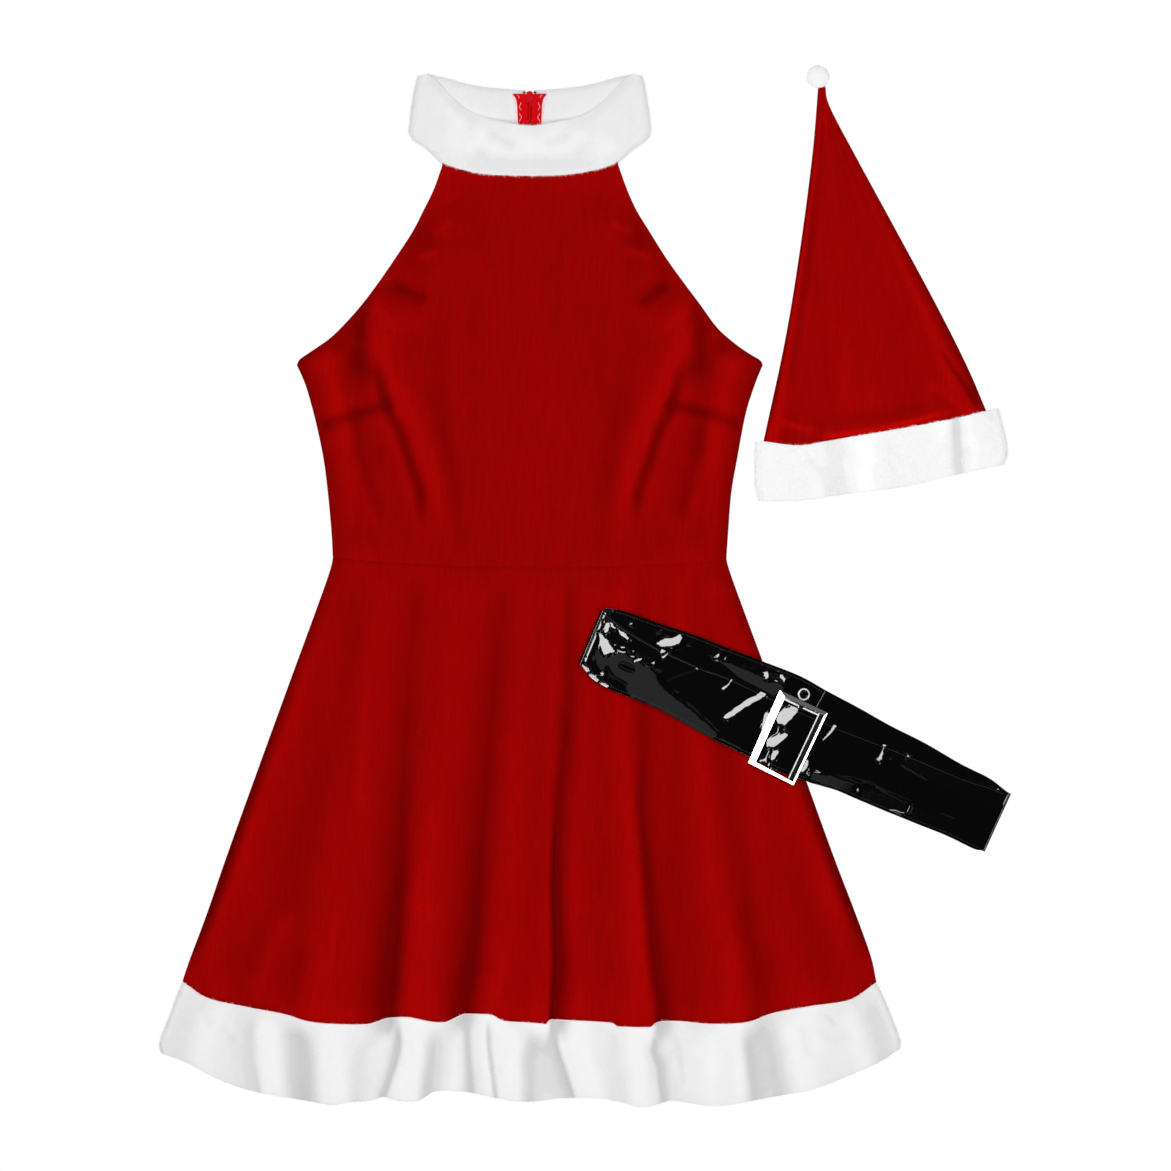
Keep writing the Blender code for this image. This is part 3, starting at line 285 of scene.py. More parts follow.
# Creases and small ridges of the bodice front: height, half width in grid steps, line along it
BODICE_CREASES = [
    (-2.2, 7.0, [(310, 430), (322, 426), (349, 416.5), (385.5, 405), (398, 400)]),
    (-2.2, 7.0, [(748, 428), (735, 423), (706.6, 413), (671.5, 405), (660, 401)]),
    (-3.0, 6.0, [
        (377, 356), (380, 385), (386, 404), (391, 418), (399, 432), (409, 461), (419, 491), (423, 530),
    ]),
    (-3.0, 6.0, [
        (682, 356), (679, 382), (671.5, 405), (668, 417), (660, 431), (651, 460), (640, 491), (636, 530),
    ]),
    (-1.4, 7.0, [(352, 405), (358, 430), (360, 455), (368, 482), (376, 507), (378, 530)]),
    (-1.4, 7.0, [(702, 405), (701, 430), (696, 458), (690, 482), (684, 507), (682, 530)]),
    (1.2, 4.0, [(430, 233), (441, 228), (456, 219)]),
    (1.2, 4.0, [(412, 257), (425, 255), (440, 251)]),
    (1.2, 4.0, [(442, 200), (452, 195), (465, 188)]),
    (-1.6, 6.0, [(388, 279), (400, 288), (430, 301)]),
    (-1.2, 6.0, [(360, 306), (372, 318), (392, 338)]),
    (1.2, 4.0, [(608, 221), (622, 227), (637, 233)]),
    (1.2, 4.0, [(622, 249), (640, 254), (655, 257)]),
    (1.2, 4.0, [(596, 184), (610, 193), (623, 203)]),
    (-1.6, 6.0, [(637, 307), (655, 293), (672, 280)]),
    (-1.2, 6.0, [(668, 338), (688, 320), (702, 306)]),
]

# Fold lines of the hat crown: height near the tip, height at the band, line down it
HAT_FOLDS = [
    (4.5, 11.5, [(822, 130), (780, 395), (772, 441)]),
    (3.8, 9.6, [(821, 164), (788, 395), (783, 441)]),
    (6.0, 14.0, [(826, 130), (850, 300), (862, 441)]),
    (5.0, 11.5, [(832, 130), (905, 320), (938, 430)]),
    (4.2, 10.4, [(830, 120), (925, 320), (966, 420)]),
]
HAT_CREASES = [
    (-1.6, 5.0, [(821, 164), (806, 270), (788, 395), (783, 420)]),
    (-2.2, 3.0, [(938, 345), (950, 363), (967, 388), (982, 412)]),
    (0.8, 6.0, [(925, 380), (945, 392), (966, 408)]),
    (1.6, 2.8, [(806, 438), (840, 434.5), (868, 430.5), (903, 424), (944, 413), (962, 409)]),
    (-0.5, 6.0, [(805, 424), (850, 419), (900, 412), (940, 405)]),
    (1.5, 3.5, [(776, 419), (792, 425), (818, 432)]),
]
# Painted highlight along the hat's band, added to its painted shade: amount, half width in grid steps, line
# along it
HAT_PAINTED_SHEEN = [(1.1, 2.3, [(812, 437), (840, 434.5), (868, 430.5), (903, 424), (944, 413), (958, 410)])]
HAT_BAND_CREASES = [
    (-1.4, 16.0, [(834, 410), (838, 470), (842, 530)]),
    (-1.7, 6.0, [(954, 390), (957, 445), (960, 500)]),
]

# Creases of the front hem fur, as for the bodice
HEM_CREASES = [
    (-0.9, 6.0, [(198, 1000), (206, 1014), (214, 1032)]),
    (-0.8, 6.0, [(216, 1026), (226, 1034), (238, 1042)]),
    (-1.2, 3.0, [(818, 1008), (826, 1016), (838, 1026)]),
    (-0.9, 5.0, [(820, 1036), (836, 1040), (856, 1034)]),
    (-0.9, 5.0, [(800, 1022), (802, 1040), (808, 1058)]),
    (-0.8, 3.0, [(508, 1026), (504, 1052), (500, 1080)]),
    (0.7, 2.5, [(484, 1024), (486, 1048), (489, 1074), (493, 1092)]),
    (-0.7, 3.0, [(676, 1030), (680, 1058), (684, 1090)]),
]

# Belt: edges of its two layers as (column, row), and how high it lies as (column, height)
BELT_WIDTH = 59.5
BELT_FRONT_TOP = [
    (600.5, 610), (624, 627), (658, 647), (701, 666.5), (728, 676), (771, 696), (835, 725),
    (859, 734.5), (909, 754), (961, 776), (991, 786), (1011.5, 794),
]
BELT_FRONT_LOW = [
    (577.6, 664), (591, 679), (614, 691), (652, 706), (682, 722), (713, 739), (748, 756),
    (769, 766.5), (789, 775), (805, 780.5), (837, 790.5), (873, 806), (917, 824), (947, 836), (976, 850),
    (985, 852),
]
BELT_BACK_TOP = [
    (599.5, 606.5), (621, 610), (658, 623), (692, 634), (728, 648), (762, 661), (800, 676),
    (827, 691), (859, 708), (891, 726), (925, 743), (961, 764), (991, 779), (1011.5, 794),
]
BELT_LOOP = 5.0
BELT_LAP = {"left_end": 827.0, "right_end": 788.0, "lift": 2.1}
BELT_LIE = [
    (560, 12.5), (726, 12.5), (740, 12.4), (752, 12.1), (871, 1.44), (883, 0.6), (895, 0.15),
    (909, 0.0), (1100, 0.0),
]

# Buckle and press stud: corners as (column, row), sizes in millimetres, tilt as an angle
BUCKLE_OUTER = [(779.4, 690), (827.5, 712.7), (793, 785), (747.5, 762.5)]
BUCKLE_WINDOW = [(784, 700), (817.5, 715.5), (787.5, 778.5), (756, 761)]
BELT_TILT = math.atan(0.0896 * MM / GRID)
BUCKLE_BASE = 7.1
BUCKLE_RIM = 1.6
BUCKLE_RIDGE = 3.6
BUCKLE_LIP = 0.5
BUCKLE_BAR = {"width": 5.0, "low": -1.5, "high": 0.9, "lift": 3.4}
PRESS_STUD = {"column": 803.7, "row": 694.3, "radius": 5.9, "height": 1.6}
# Share of the press stud's radius inside which it is black patent, painted shade of the socket's hollow
STUD_SHADE_PART = 0.74

# Stitching along the strap: distance from its edges, and from stitch to stitch
STITCH_INSET = 2.9
STITCH_PITCH = 2.3

# Buckle frame: where ridge and lip lie on each bar, the rim's rise at each corner, and the lip faces of the
# top and right bars, given a pale diffuse metal that paints their highlight
RIDGE_SHARES = (0.6, 0.27, 0.8, 0.88)
LIP_SHARES = (0.84, 0.85, 0.92, 0.94)
RIM_RISE = np.array([-0.15, 0.75, 0.75, -0.15])
LIP_HIGHLIGHT_FACES = (12, 13)

# Small facets of the crumpled vinyl that lean to the upper left: half width, line along it
SHINE_FRONT = [
    ((1.6, 1.6), [(604, 622), (612, 626), (620, 631.5), (628, 639)]),
    ((2.2, 2.2), [(606.5, 631), (607.5, 625)]),
    ((2.0, 6.0), [(600, 634), (607, 649)]),
    ((2.6, 2.6), [(604, 651), (613, 651.5)]),
    ((1.7, 1.7), [(635, 661), (641, 659)]),
    ((2.6, 2.6), [(663, 651), (671, 650)]),
    ((1.5, 1.5), [(664, 657.5), (667, 654)]),
    ((1.3, 1.3), [(724, 689), (728, 685), (731, 680)]),
    ((3.8, 3.8), [(728, 716), (744, 705), (763, 694.5)]),
    ((2.6, 2.6), [(763.5, 729), (765, 722), (766.5, 714)]),
    ((7.0, 5.0), [(783, 719), (792, 711)]),
    ((5.0, 3.4), [(771, 744), (784, 735)]),
    ((3.0, 3.0), [(773, 758), (776, 752)]),
    ((1.5, 1.5), [(760, 761), (765, 760.5)]),
    ((1.5, 1.5), [(824.5, 708), (826.5, 703), (826, 699)]),
    ((1.6, 2.4), [(824.5, 739.5), (830, 733), (835, 725.5)]),
    ((2.8, 2.8), [(802, 771), (806, 766), (806, 761)]),
    ((3.6, 1.8), [(881, 759), (882.5, 752), (883.5, 745)]),
    ((1.2, 1.2), [(892.5, 758.5), (895, 752)]),
    ((1.4, 1.4), [(907, 755.5), (909.5, 757.5)]),
    ((2.2, 2.2), [(581, 665.5), (588, 672)]),
    ((1.9, 1.9), [(590, 675), (598, 680.5)]),
    ((1.4, 1.4), [(601, 683), (608, 686.5)]),
    ((1.1, 1.1), [(584, 655), (586, 661)]),
]
SHINE_BACK = [
    ((1.4, 1.4), [(609.5, 618), (611, 612)]),
    ((1.4, 1.4), [(632, 624.5), (633, 619.5)]),
    ((1.9, 1.9), [(660, 632), (664, 630)]),
    ((5.0, 5.0), [(661, 641.5), (670, 643), (679, 640)]),
    ((1.4, 1.4), [(688, 644), (693, 641.5)]),
    ((2.8, 2.8), [(717, 657), (721, 653)]),
    ((2.0, 2.0), [(726.5, 659), (730.5, 653.5)]),
    ((1.5, 1.5), [(755, 668.5), (761.5, 664.5)]),
    ((3.2, 1.8), [(767, 677.5), (769, 667)]),
    ((1.2, 1.2), [(773, 681), (775.5, 675)]),
    ((1.8, 3.0), [(778, 673), (785, 681)]),
]

# Broad shallow facets that lean to the lower left, and marks that break them
DIM_FRONT = [
    ((9.0, 12.0), [(607, 660), (622, 666), (640, 680)]),
    ((11.0, 3.0), [(642, 686), (672, 706), (714, 734)]),
]
DIM_RIGHT = [
    ((3.5, 5.0), [(814, 776), (840, 784), (866, 793)]),
    ((5.5, 1.5), [(866, 793), (900, 806), (952, 821)]),
    ((3.5, 7.0), [(906, 761), (930, 773), (960, 786), (998, 800)]),
]
DIM_BACK = [((3.4, 5.2), [(709, 663), (745, 675), (780, 689)])]
BELT_CREASES = [
    (-0.6, 1.8, [(775, 729), (783, 724), (792, 722)]),
    (0.5, 2.6, [(662, 684), (684, 676), (706, 668)]),
    (0.35, 1.6, [(911, 758), (913, 757.5), (915, 757)]),
    (0.35, 1.6, [(960.5, 784), (962, 782), (963.5, 780)]),
    (0.35, 1.6, [(986, 783.5), (987.5, 782.7), (989, 782)]),
    (0.35, 1.6, [(997, 787), (999.5, 787), (1002, 787)]),
]

# Sharp marks pressed into the facets
BELT_MARKS = [
    (-0.7, 1.9, [(605, 663), (612, 676), (630, 687)]),
    (-0.5, 1.3, [(617, 664), (626, 669), (636, 672)]),
    (0.4, 1.0, [(617, 662), (627, 664), (636, 669)]),
    (0.3, 1.0, [(640, 656), (643, 659), (646, 663)]),
]

# Zip tapes down the back: row, outer edge in grid steps from the middle, height
TAPE_RUN = [
    (93.5, 17.0, 5.7), (98, 14.0, 5.7), (104, 13.0, 5.7), (124, 12.2, 5.7), (150, 11.5, 5.7),
    (177, 11.0, 5.7), (188, 11.0, 3.8), (200, 11.0, 2.0), (204, 11.0, 1.9), (620, 11.0, 1.9),
]

# Facets of the belt: table, slope across and down, length of a cell in grid steps, softness of its edge
UPPER_LEFT = (-0.105, -0.215)
LOWER_LEFT = (-0.085, 0.105)
FAINT_LEFT = (-0.072, 0.105)
BACK_FACETS = [(DIM_BACK, LOWER_LEFT, 30.0, 1.0), (SHINE_BACK, UPPER_LEFT, 14.0, 0.15)]
FRONT_FACETS = [
    (DIM_FRONT, LOWER_LEFT, 14.0, 1.0), (DIM_RIGHT, FAINT_LEFT, 14.0, 1.2),
    (SHINE_FRONT, UPPER_LEFT, 14.0, 0.15),
]

# Lights: name, size, place, power, and True for the glossy pieces or False for the cloth
LIGHTS = [
    ("key", (2.4, 2.4), (0.0, 0.0, 2.6), 78.0, False),
    ("window_box", (1.0, 0.5), (-0.3, 0.85, 2.1), 13.0, True),
    ("left_box", (0.46, 0.46), (-0.58, 0.3, 1.9), 6.0, True),
    ("right_box", (0.8, 0.3), (2.1, -1.05, 0.55), 4.5, True),
    ("top_card", (1.0, 0.9), (1.1, 1.11, 1.3), 0.34, True),
    ("low_box", (0.9, 0.5), (-0.37, -2.42, 1.85), 7.0, True),
]
for k, size in enumerate((0.4, 0.6, 0.8)):
    LIGHTS.append((f"dim_card_{k}", (size, size), (-0.35, -0.55, 2.1), 0.7 * size**2, True))

# Shares down a fur band at which its section is worked out, close together at its edges
BAND_ROWS = np.array([
    0, 0.012, 0.03, 0.06, 0.1, 0.15, 0.2, 0.26, 0.32, 0.38, 0.44, 0.5, 0.56, 0.62, 0.68, 0.74,
    0.8, 0.85, 0.9, 0.94, 0.97, 0.988, 1.0,
])
LATTICE_SIZE = 64
LATTICE = np.random.default_rng(7).random((LATTICE_SIZE, LATTICE_SIZE))


def ease(t):
    t = np.clip(t, 0.0, 1.0)
    return t * t * (3.0 - 2.0 * t)


def ramp(value, start, end):
    """Smooth share, 0 at a starting row or column and 1 at an end one."""
    return ease((value - start) / (end - start))


def mix(first, second, share):
    return first + (second - first) * share


def unit(vectors):
    return vectors / np.maximum(np.linalg.norm(vectors, axis=-1, keepdims=True), 1e-12)


def dense_line(points):
    """Close-set points on a smooth line through the given ones."""
    line = np.array(points, float)
    if len(line) < 3:
        return line
    ends = np.vstack([2 * line[0] - line[1], line, 2 * line[-1] - line[-2]])
    t = np.linspace(0, 1, 9)[:-1, None]
    pieces = []
    for a, b, c, d in zip(ends, ends[1:], ends[2:], ends[3:]):
        bend = (c - a) * t + (2 * a - 5 * b + 4 * c - d) * t**2 + (3 * b - a - 3 * c + d) * t**3
        pieces.append(b + 0.5 * bend)
    return np.vstack(pieces + [line[-1:]])


def line_run(line):
    steps = np.linalg.norm(np.diff(line, axis=0), axis=1)
    return np.concatenate([[0.0], np.cumsum(steps)])


def at_run(line, wanted):
    """Points at the given lengths along a line."""
    run = line_run(line)
    return np.column_stack([np.interp(wanted, run, line[:, k]) for k in range(line.shape[1])])


def sample(points, shares):
    """Points at the given shares of a smooth line's length."""
    line = dense_line(points)
    return at_run(line, np.asarray(shares) * line_run(line)[-1])


def even(count):
    return np.linspace(0, 1, count)


def patch(top, bottom, left, right):
    """Plan grid inside four border lines: first index down, second index across."""
    u = (line_run(top) / line_run(top)[-1])[None, :, None]
    v = (line_run(left) / line_run(left)[-1])[:, None, None]
    corners = (1 - v) * ((1 - u) * top[0] + u * top[-1]) + v * ((1 - u) * bottom[0] + u * bottom[-1])
    across = (1 - v) * top[None] + v * bottom[None]
    down = (1 - u) * left[:, None] + u * right[:, None]
    return across + down - corners


def column_at(line, row):
    table = np.array(sorted((r, c) for c, r in line))
    return np.interp(row, table[:, 0], table[:, 1])


def between_folds(column, stops):
    """Heights between fold lines, given left to right as (columns, heights, sharpness).

    The cloth is level where it meets a smooth line, and turns at once out of a sharp low one.
    """
    height = stops[0][1] + np.zeros(column.shape)
    for (c0, h0, sharp0), (c1, h1, sharp1) in zip(stops, stops[1:]):
        t = np.clip((column - c0) / np.maximum(c1 - c0, 1e-6), 0, 1)
        rising = h1 >= h0
        t = np.where(rising, t, 1 - t)
        sharp = np.where(rising, sharp0, sharp1)
        share = (1 - sharp) * ease(t) + sharp * np.sin(t * math.pi / 2)
        between = np.minimum(h0, h1) + np.abs(h1 - h0) * share
        height = np.where(column > c0, between, height)
    return height


def near_line(column, row, line):
    """Signed distance from a line, positive on its right going down, and the share along it."""
    line = dense_line(line)
    run = line_run(line)
    best = np.full(column.shape, 1e9)
    side = np.zeros(column.shape)
    share = np.zeros(column.shape)
    for k, ((c0, r0), (c1, r1)) in enumerate(zip(line, line[1:])):
        dc, dr = c1 - c0, r1 - r0
        t = np.clip(((column - c0) * dc + (row - r0) * dr) / (dc * dc + dr * dr), 0, 1)
        off_c, off_r = column - c0 - t * dc, row - r0 - t * dr
        gap = np.hypot(off_c, off_r)
        closer = gap < best
        best = np.where(closer, gap, best)
        side = np.where(closer, np.sign(off_c * dr - off_r * dc), side)
        share = np.where(closer, (run[k] + t * (run[k + 1] - run[k])) / run[-1], share)
    return best * side, share


def creased(column, row, table):
    """Added height of ridges and creases, each fading out at its ends."""
    rise = np.zeros(column.shape)
    for height, width, line in table:
        gap, share = near_line(column, row, line)
        fade = ease(share / FADE_PART) * ease((1 - share) / FADE_PART)
        rise += height * np.exp(-((gap / width) ** 2)) * fade
    return rise


def with_facets(plan, heights, groups):
    """Heights with small flat facets laid in along lines, those of a group all leaning the same way.

    Long lines are split into cells, so that no facet stands far out of the strap.
    """
    column, row = plan[..., 0], plan[..., 1]
    every = [(group, entry) for group in groups for entry in group[0]]
    for (_, lean, cell, edge), ((first, last), line) in every:
        size = np.linalg.norm(lean)
        gap, share = near_line(column, row, line)
        width = first + (last - first) * share
        ragged = width * (1 + 0.18 * noise(column, row, (5, 5), 61))
        weight = 1 - ease((np.abs(gap) - ragged) / (edge * width + 0.7))
        dense = dense_line(line)
        length = line_run(dense)[-1]
        along = (dense[-1] - dense[0]) / max(length, 1e-9)
        count = max(1, round(length * abs(along @ np.array(lean)) / size / cell))
        owner = np.minimum((share * count).astype(int), count - 1)
        for k in range(count):
            part = weight * (owner == k)
            if part.max() < 0.05:
                continue
            total = part.sum()
            middle = (part * column).sum() / total, (part * row).sum() / total
            level = (part * heights).sum() / total + 0.6 * size * min(first, last) / STEP
            plane = level - ((column - middle[0]) * lean[0] + (row - middle[1]) * lean[1]) / STEP
            heights = heights + (plane - heights) * part
    return heights


def noise(column, row, cell, layer):
    """Smooth noise between -1 and 1, its features about a cell (columns, rows) wide."""
    u = column / cell[0] + 7.31 * layer
    v = row / cell[1] + 3.17 * layer
    i, j = np.floor(u).astype(int), np.floor(v).astype(int)
    fu, fv = ease(u - i), ease(v - j)

    def across(down):
        first, second = [LATTICE[k % LATTICE_SIZE, down % LATTICE_SIZE] for k in (i, i + 1)]
        return first * (1 - fu) + second * fu

    return 2 * (across(j) * (1 - fv) + across(j + 1) * fv) - 1


def softened(values, cells, axes=(0, 1)):
    """Values blurred over a number of grid cells along each axis."""
    for axis in axes:
        for _ in range(2):
            pad = [(0, 0), (0, 0)]
            pad[axis] = (cells + 1, cells)
            total = np.cumsum(np.pad(values, pad, mode="edge"), axis=axis)
            width = 2 * cells + 1
            upper = np.take(total, range(width, total.shape[axis]), axis=axis)
            lower = np.take(total, range(0, total.shape[axis] - width), axis=axis)
            values = (upper - lower) / width
    return values


def painted_shade_of(heights, cells, scale, slope, slope_shade, axes=(0, 1)):
    """Painted shade, -1 to 1: how far each point stands out of its surroundings, taken down where the cloth
    is steep by slope_shade, to darken hollows and slopes and lighten ridges.
    """
    standing = (heights - softened(heights, cells, axes)) / scale
    return np.clip(standing - slope_shade * np.abs(softened(slope, 2)), -1, 1)


def place(plan, heights):
    """Space points from plan points in grid steps and heights in millimetres."""
    spots = np.zeros(plan.shape[:-1] + (3,))
    spots[..., 0] = (plan[..., 0] - LAYOUT_MID) * GRID
    spots[..., 1] = (LAYOUT_MID - plan[..., 1]) * GRID
    spots[..., 2] = np.asarray(heights) * MM
    return spots


def moved_down(points, steps):
    return [(c, r + steps) for c, r in points]


def column_row(line, column):
    """Row of a line that runs across, at each column."""
    line = dense_line(line)
    return np.interp(column, line[:, 0], line[:, 1])


def joined_at_waist(height, column, away):
    """Heights that meet those of the waist seam, by the number of rows away from it."""
    inside = np.minimum(column - WAIST[0][0], WAIST[-1][0] - column)
    wave = 0.5 * noise(column, 0 * column, (42, 10), 14)
    seam = mix(FRONT_EDGE, WAIST_MID + wave, np.sin(np.clip(inside / SIDE_RISE, 0, 1) * math.pi / 2))
    return mix(height, seam, ease(1 - away / 34.0))


def skirt_height(column, row):
    """Middle of the skirt front's cloth above the table."""
    down = np.clip((row - 560.0) / 455.0, 0, 1)
    edge = mix(FRONT_EDGE, HEM_MID, ramp(row, 890, 982))
    stops = [(column_at(SKIRT_LEFT, row), edge, 0.8)]
    for high, low, sharp, line in SKIRT_FOLDS:
        stops.append((column_at(line, row), mix(high, low, down**1.3), sharp))
    stops.append((column_at(SKIRT_RIGHT, row), edge, 0.8))
    height = between_folds(column, stops) + creased(column, row, SKIRT_CREASES)
    return joined_at_waist(height, column, row - column_row(WAIST, column))


def bodice_height(column, row):
    """Middle of the bodice front's cloth above the table."""
    left = column_at(ARMHOLE_LEFT + SIDE_LEFT, row)
    right = column_at(ARMHOLE_RIGHT + SIDE_RIGHT, row)
    stops = [(left, FRONT_EDGE, 0.7)]
    for height, line in BODICE_FOLDS:
        spot = column_at(line, row)
        inside = np.minimum(spot - left, right - spot)
        high = mix(height, 6.5 + 0.25 * (height - 9.0), ramp(row, 440, 560))
        stops.append((np.clip(spot, left, right), mix(FRONT_EDGE, high, ease(inside / SIDE_RISE)), 0.0))
    stops.append((right, FRONT_EDGE, 0.7))
    height = between_folds(column, stops) + creased(column, row, BODICE_CREASES)
    height = mix(height, COLLAR_MID, ramp(row, 245, 173))
    height = joined_at_waist(height, column, column_row(WAIST, column) - row)
    return np.maximum(height, FRONT_EDGE)


def hat_height(column, row):
    """Middle of the hat front's cloth above the table."""
    down = np.clip((row - 130.0) / 300.0, 0, 1)
    edge = mix(FRONT_EDGE, HAT_MID, ramp(row, 385, 440))
    left, right = column_at(HAT_LEFT, row), column_at(HAT_RIGHT, row)
    stops = [(left, edge, 0.7)]
    for high, low, line in HAT_FOLDS:
        stops.append((np.clip(column_at(line, row), left + 0.5, right - 0.5), mix(high, low, down), 0.0))
    stops.append((right, edge, 0.7))
    return mix(FRONT_EDGE, between_folds(column, stops), ramp(row, 88, 128))


def hem_height(column, row):
    """Middle of the front hem fur above the table: the skirt's folds at the seam, then its own."""
    stops = [(column_at(HEM_LEFT, row), HEM_MID, 0.6)]
    for height, sharp, line in HEM_FOLDS:
        stops.append((column_at(line, row), height, sharp))
    stops.append((column_at(HEM_RIGHT, row), HEM_MID, 0.6))
    own = between_folds(column, stops) + creased(column, row, HEM_CREASES)
    own += 0.45 * noise(column, row, (24, 28), 1) + 0.2 * noise(column, row, (11, 13), 2)
    below = row - column_row(HEM_SEAM, column)
    seam = skirt_height(column, np.minimum(row, SKIRT_END)) - 0.6
    return np.maximum(HEM_MID, mix(seam, own, ease(below / 26.0)))


def collar_height(column, row):
    """Middle of the front collar fur above the table: soft creases, its top edge close to the back."""
    across = np.minimum(1.0, np.abs(column - MID_COLUMN) / 110.0)
    puff = 2.0 * (1 - across**2) + creased(column, row, COLLAR_CREASES)
    fluff = 0.5 * noise(column, row, (24, 22), 3) + 0.4 * noise(column, row, (11, 11), 4)
    return COLLAR_MID + (puff + fluff) * ramp(row, 166, 148)


def collar_dip(column, row):
    """How far the front collar's top edge sinks towards the back's fur, most at the sides."""
    deep = 2.4 + 2.6 * ramp(np.abs(column - MID_COLUMN), 24, 64)
    return deep * ease(1 - (row - column_row(COLLAR_FRONT_TOP, column)) / 13.0)


def back_fur_share(column):
    """Fur of the back collar is pressed thin under the zip tape."""
    away = np.abs(column - ZIP_COLUMN)
    return mix(TAPE_FUR, COLLAR_FUR, ramp(away, TAPE_REACH, 32.5)) / COLLAR_FUR


def hat_band_height(column, row):
    """Middle of the front hat fur above the table: the crown's folds carried on, then its own."""
    along = np.clip(column, 790.0, 960.0)
    height = np.maximum(HAT_MID, hat_height(along, 432.0 + 0 * row) - 0.05 * (row - 430.0))
    height += creased(column, row, HAT_BAND_CREASES)
    return height + 0.35 * noise(column, row, (22, 22), 5) + 0.25 * noise(column, row, (9, 10), 6)


# Materials
class Nodes:
    """Short helper around one material's node tree."""

    def __init__(self, name, colour, roughness, metallic=0.0):
        self.material = bpy.data.materials.new(name)
        self.material.use_nodes = True
        self.tree = self.material.node_tree
        self.shader = self.tree.nodes["Principled BSDF"]
        self.set(Base_Color=(*colour, 1), Roughness=roughness, Metallic=metallic)
        self.material.diffuse_color = (*colour, 1)

    def set(self, **values):
        for key, value in values.items():
            self.shader.inputs[key.replace("_", " ")].default_value = value
        return self

    def add(self, kind, output, inputs, **settings):
        """One output of a new node, whose inputs are values or outputs of other nodes."""
        node = self.tree.nodes.new(f"ShaderNode{kind}")
        for key, value in settings.items():
            setattr(node, key, value)
        for key, value in inputs.items():
            if isinstance(value, bpy.types.NodeSocket):
                self.tree.links.new(value, node.inputs[key])
            else:
                node.inputs[key].default_value = value
        return node.outputs[output]

    def feed(self, socket, value):
        self.tree.links.new(value, self.shader.inputs[socket])

    def noise(self, scale, detail, stretch=(1, 1, 1)):
        spot = self.add("Mapping", "Vector", {"Vector": self.add("TexCoord", "Object", {}), "Scale": stretch})
        return self.add("TexNoise", "Fac", {"Vector": spot, "Scale": scale, "Detail": detail})

    def ranged(self, value, low, high, start=0.3, end=0.7):
        limits = {"From Min": start, "From Max": end, "To Min": low, "To Max": high}
        return self.add("MapRange", "Result", {"Value": value, **limits})

    def painted_shade(self, low, high, end):
        """Painted shade from the piece's painted shade attribute: a colour scale from its hollows to its
        ridges.
        """
        return self.ranged(self.add("Attribute", "Fac", {}, attribute_name="painted_shade"), low, high, -1.0, end)

    def times(self, first, second):
        return self.add("Math", "Value", {0: first, 1: second}, operation="MULTIPLY")

    def tint(self, colour, amount):
        """Base colour scaled by a value."""
        levels = {0: colour, "Scale": amount}
        self.feed("Base Color", self.add("VectorMath", "Vector", levels, operation="SCALE"))

    def bump(self, value, distance, strength):
        levels = {"Strength": strength, "Distance": distance, "Height": value}
        self.feed("Normal", self.add("Bump", "Normal", levels))


def velvet_material(red):
    look = Nodes("red_velvet", red, 0.9)
    look.set(Specular_IOR_Level=0.0, Sheen_Weight=0.3, Sheen_Roughness=0.35)
    look.set(Sheen_Tint=(1.0, 0.008, 0.005, 1))
    streaks = look.ranged(look.noise(420, 4, (1, 0.09, 1)), 0.93, 1.07)
    patches = look.ranged(look.noise(34, 3, (1, 0.5, 1)), 0.965, 1.035)
    # Painted shade and painted sheen: colour scaled from 0.50 in the hollows up to 1.648 on ridges and
    # painted highlights, times random nap streaks and patches
    look.tint(red, look.times(look.times(look.painted_shade(0.50, 1.648, 1.8), streaks), patches))
    look.bump(look.noise(1500, 3, (1, 0.4, 1)), 0.0004, 0.5)
    return look.material


def fur_material(name, white, hollow):
    look = Nodes(name, (white, white, white), 1.0).set(Specular_IOR_Level=0.0)
    tufts = look.ranged(look.noise(130, 4), 0.98, 1.012)
    # Painted shade: the fur's colour scaled from the hollow value in its hollows up to 1.03 on its ridges,
    # times random tufts
    look.tint((white, white, white * 1.003), look.times(look.painted_shade(hollow, 1.03, 0.3), tufts))
    look.bump(look.noise(700, 3), 0.0004, 0.3)
    return look.material


def plain_material(name, colour, roughness, metallic=0.0, grain=None, bump=None, **settings):
    """Material of one colour. Grain is (scale, detail, low, high), bump (scale, depth, strength)."""
    look = Nodes(name, colour, roughness, metallic).set(**settings)
    if grain:
        look.tint(colour, look.ranged(look.noise(*grain[:2]), *grain[2:]))
    if bump:
        look.bump(look.noise(bump[0], 2), *bump[1:])
    return look.material


def strand_materials(name, tones):
    """Plain tones of the fur strands, steps of painted shade from dark in the fur's hollows to light on its
    ridges.
    """
    return [
        plain_material(f"{name}_{k}", (tone, tone, tone * 1.004), 1.0, Specular_IOR_Level=0.0)
        for k, tone in enumerate(tones)
    ]


def chrome_material():
    look = Nodes("chrome", (0.83, 0.83, 0.85), 0.08, 1.0)
    look.feed("Roughness", look.ranged(look.noise(160, 3), 0.05, 0.13))
    return look.material


# Mesh making
def make_mesh(name, spots, faces):
    mesh = bpy.data.meshes.new(name)
    mesh.vertices.add(len(spots))
    mesh.vertices.foreach_set("co", np.ascontiguousarray(spots, float).ravel())
    mesh.loops.add(faces.size)
    mesh.loops.foreach_set("vertex_index", np.ascontiguousarray(faces, np.int32).ravel())
    mesh.polygons.add(len(faces))
    mesh.polygons.foreach_set("loop_start", np.arange(0, faces.size, faces.shape[1], dtype=np.int32))
    mesh.update(calc_edges=True)
    mesh.shade_smooth()
    return mesh


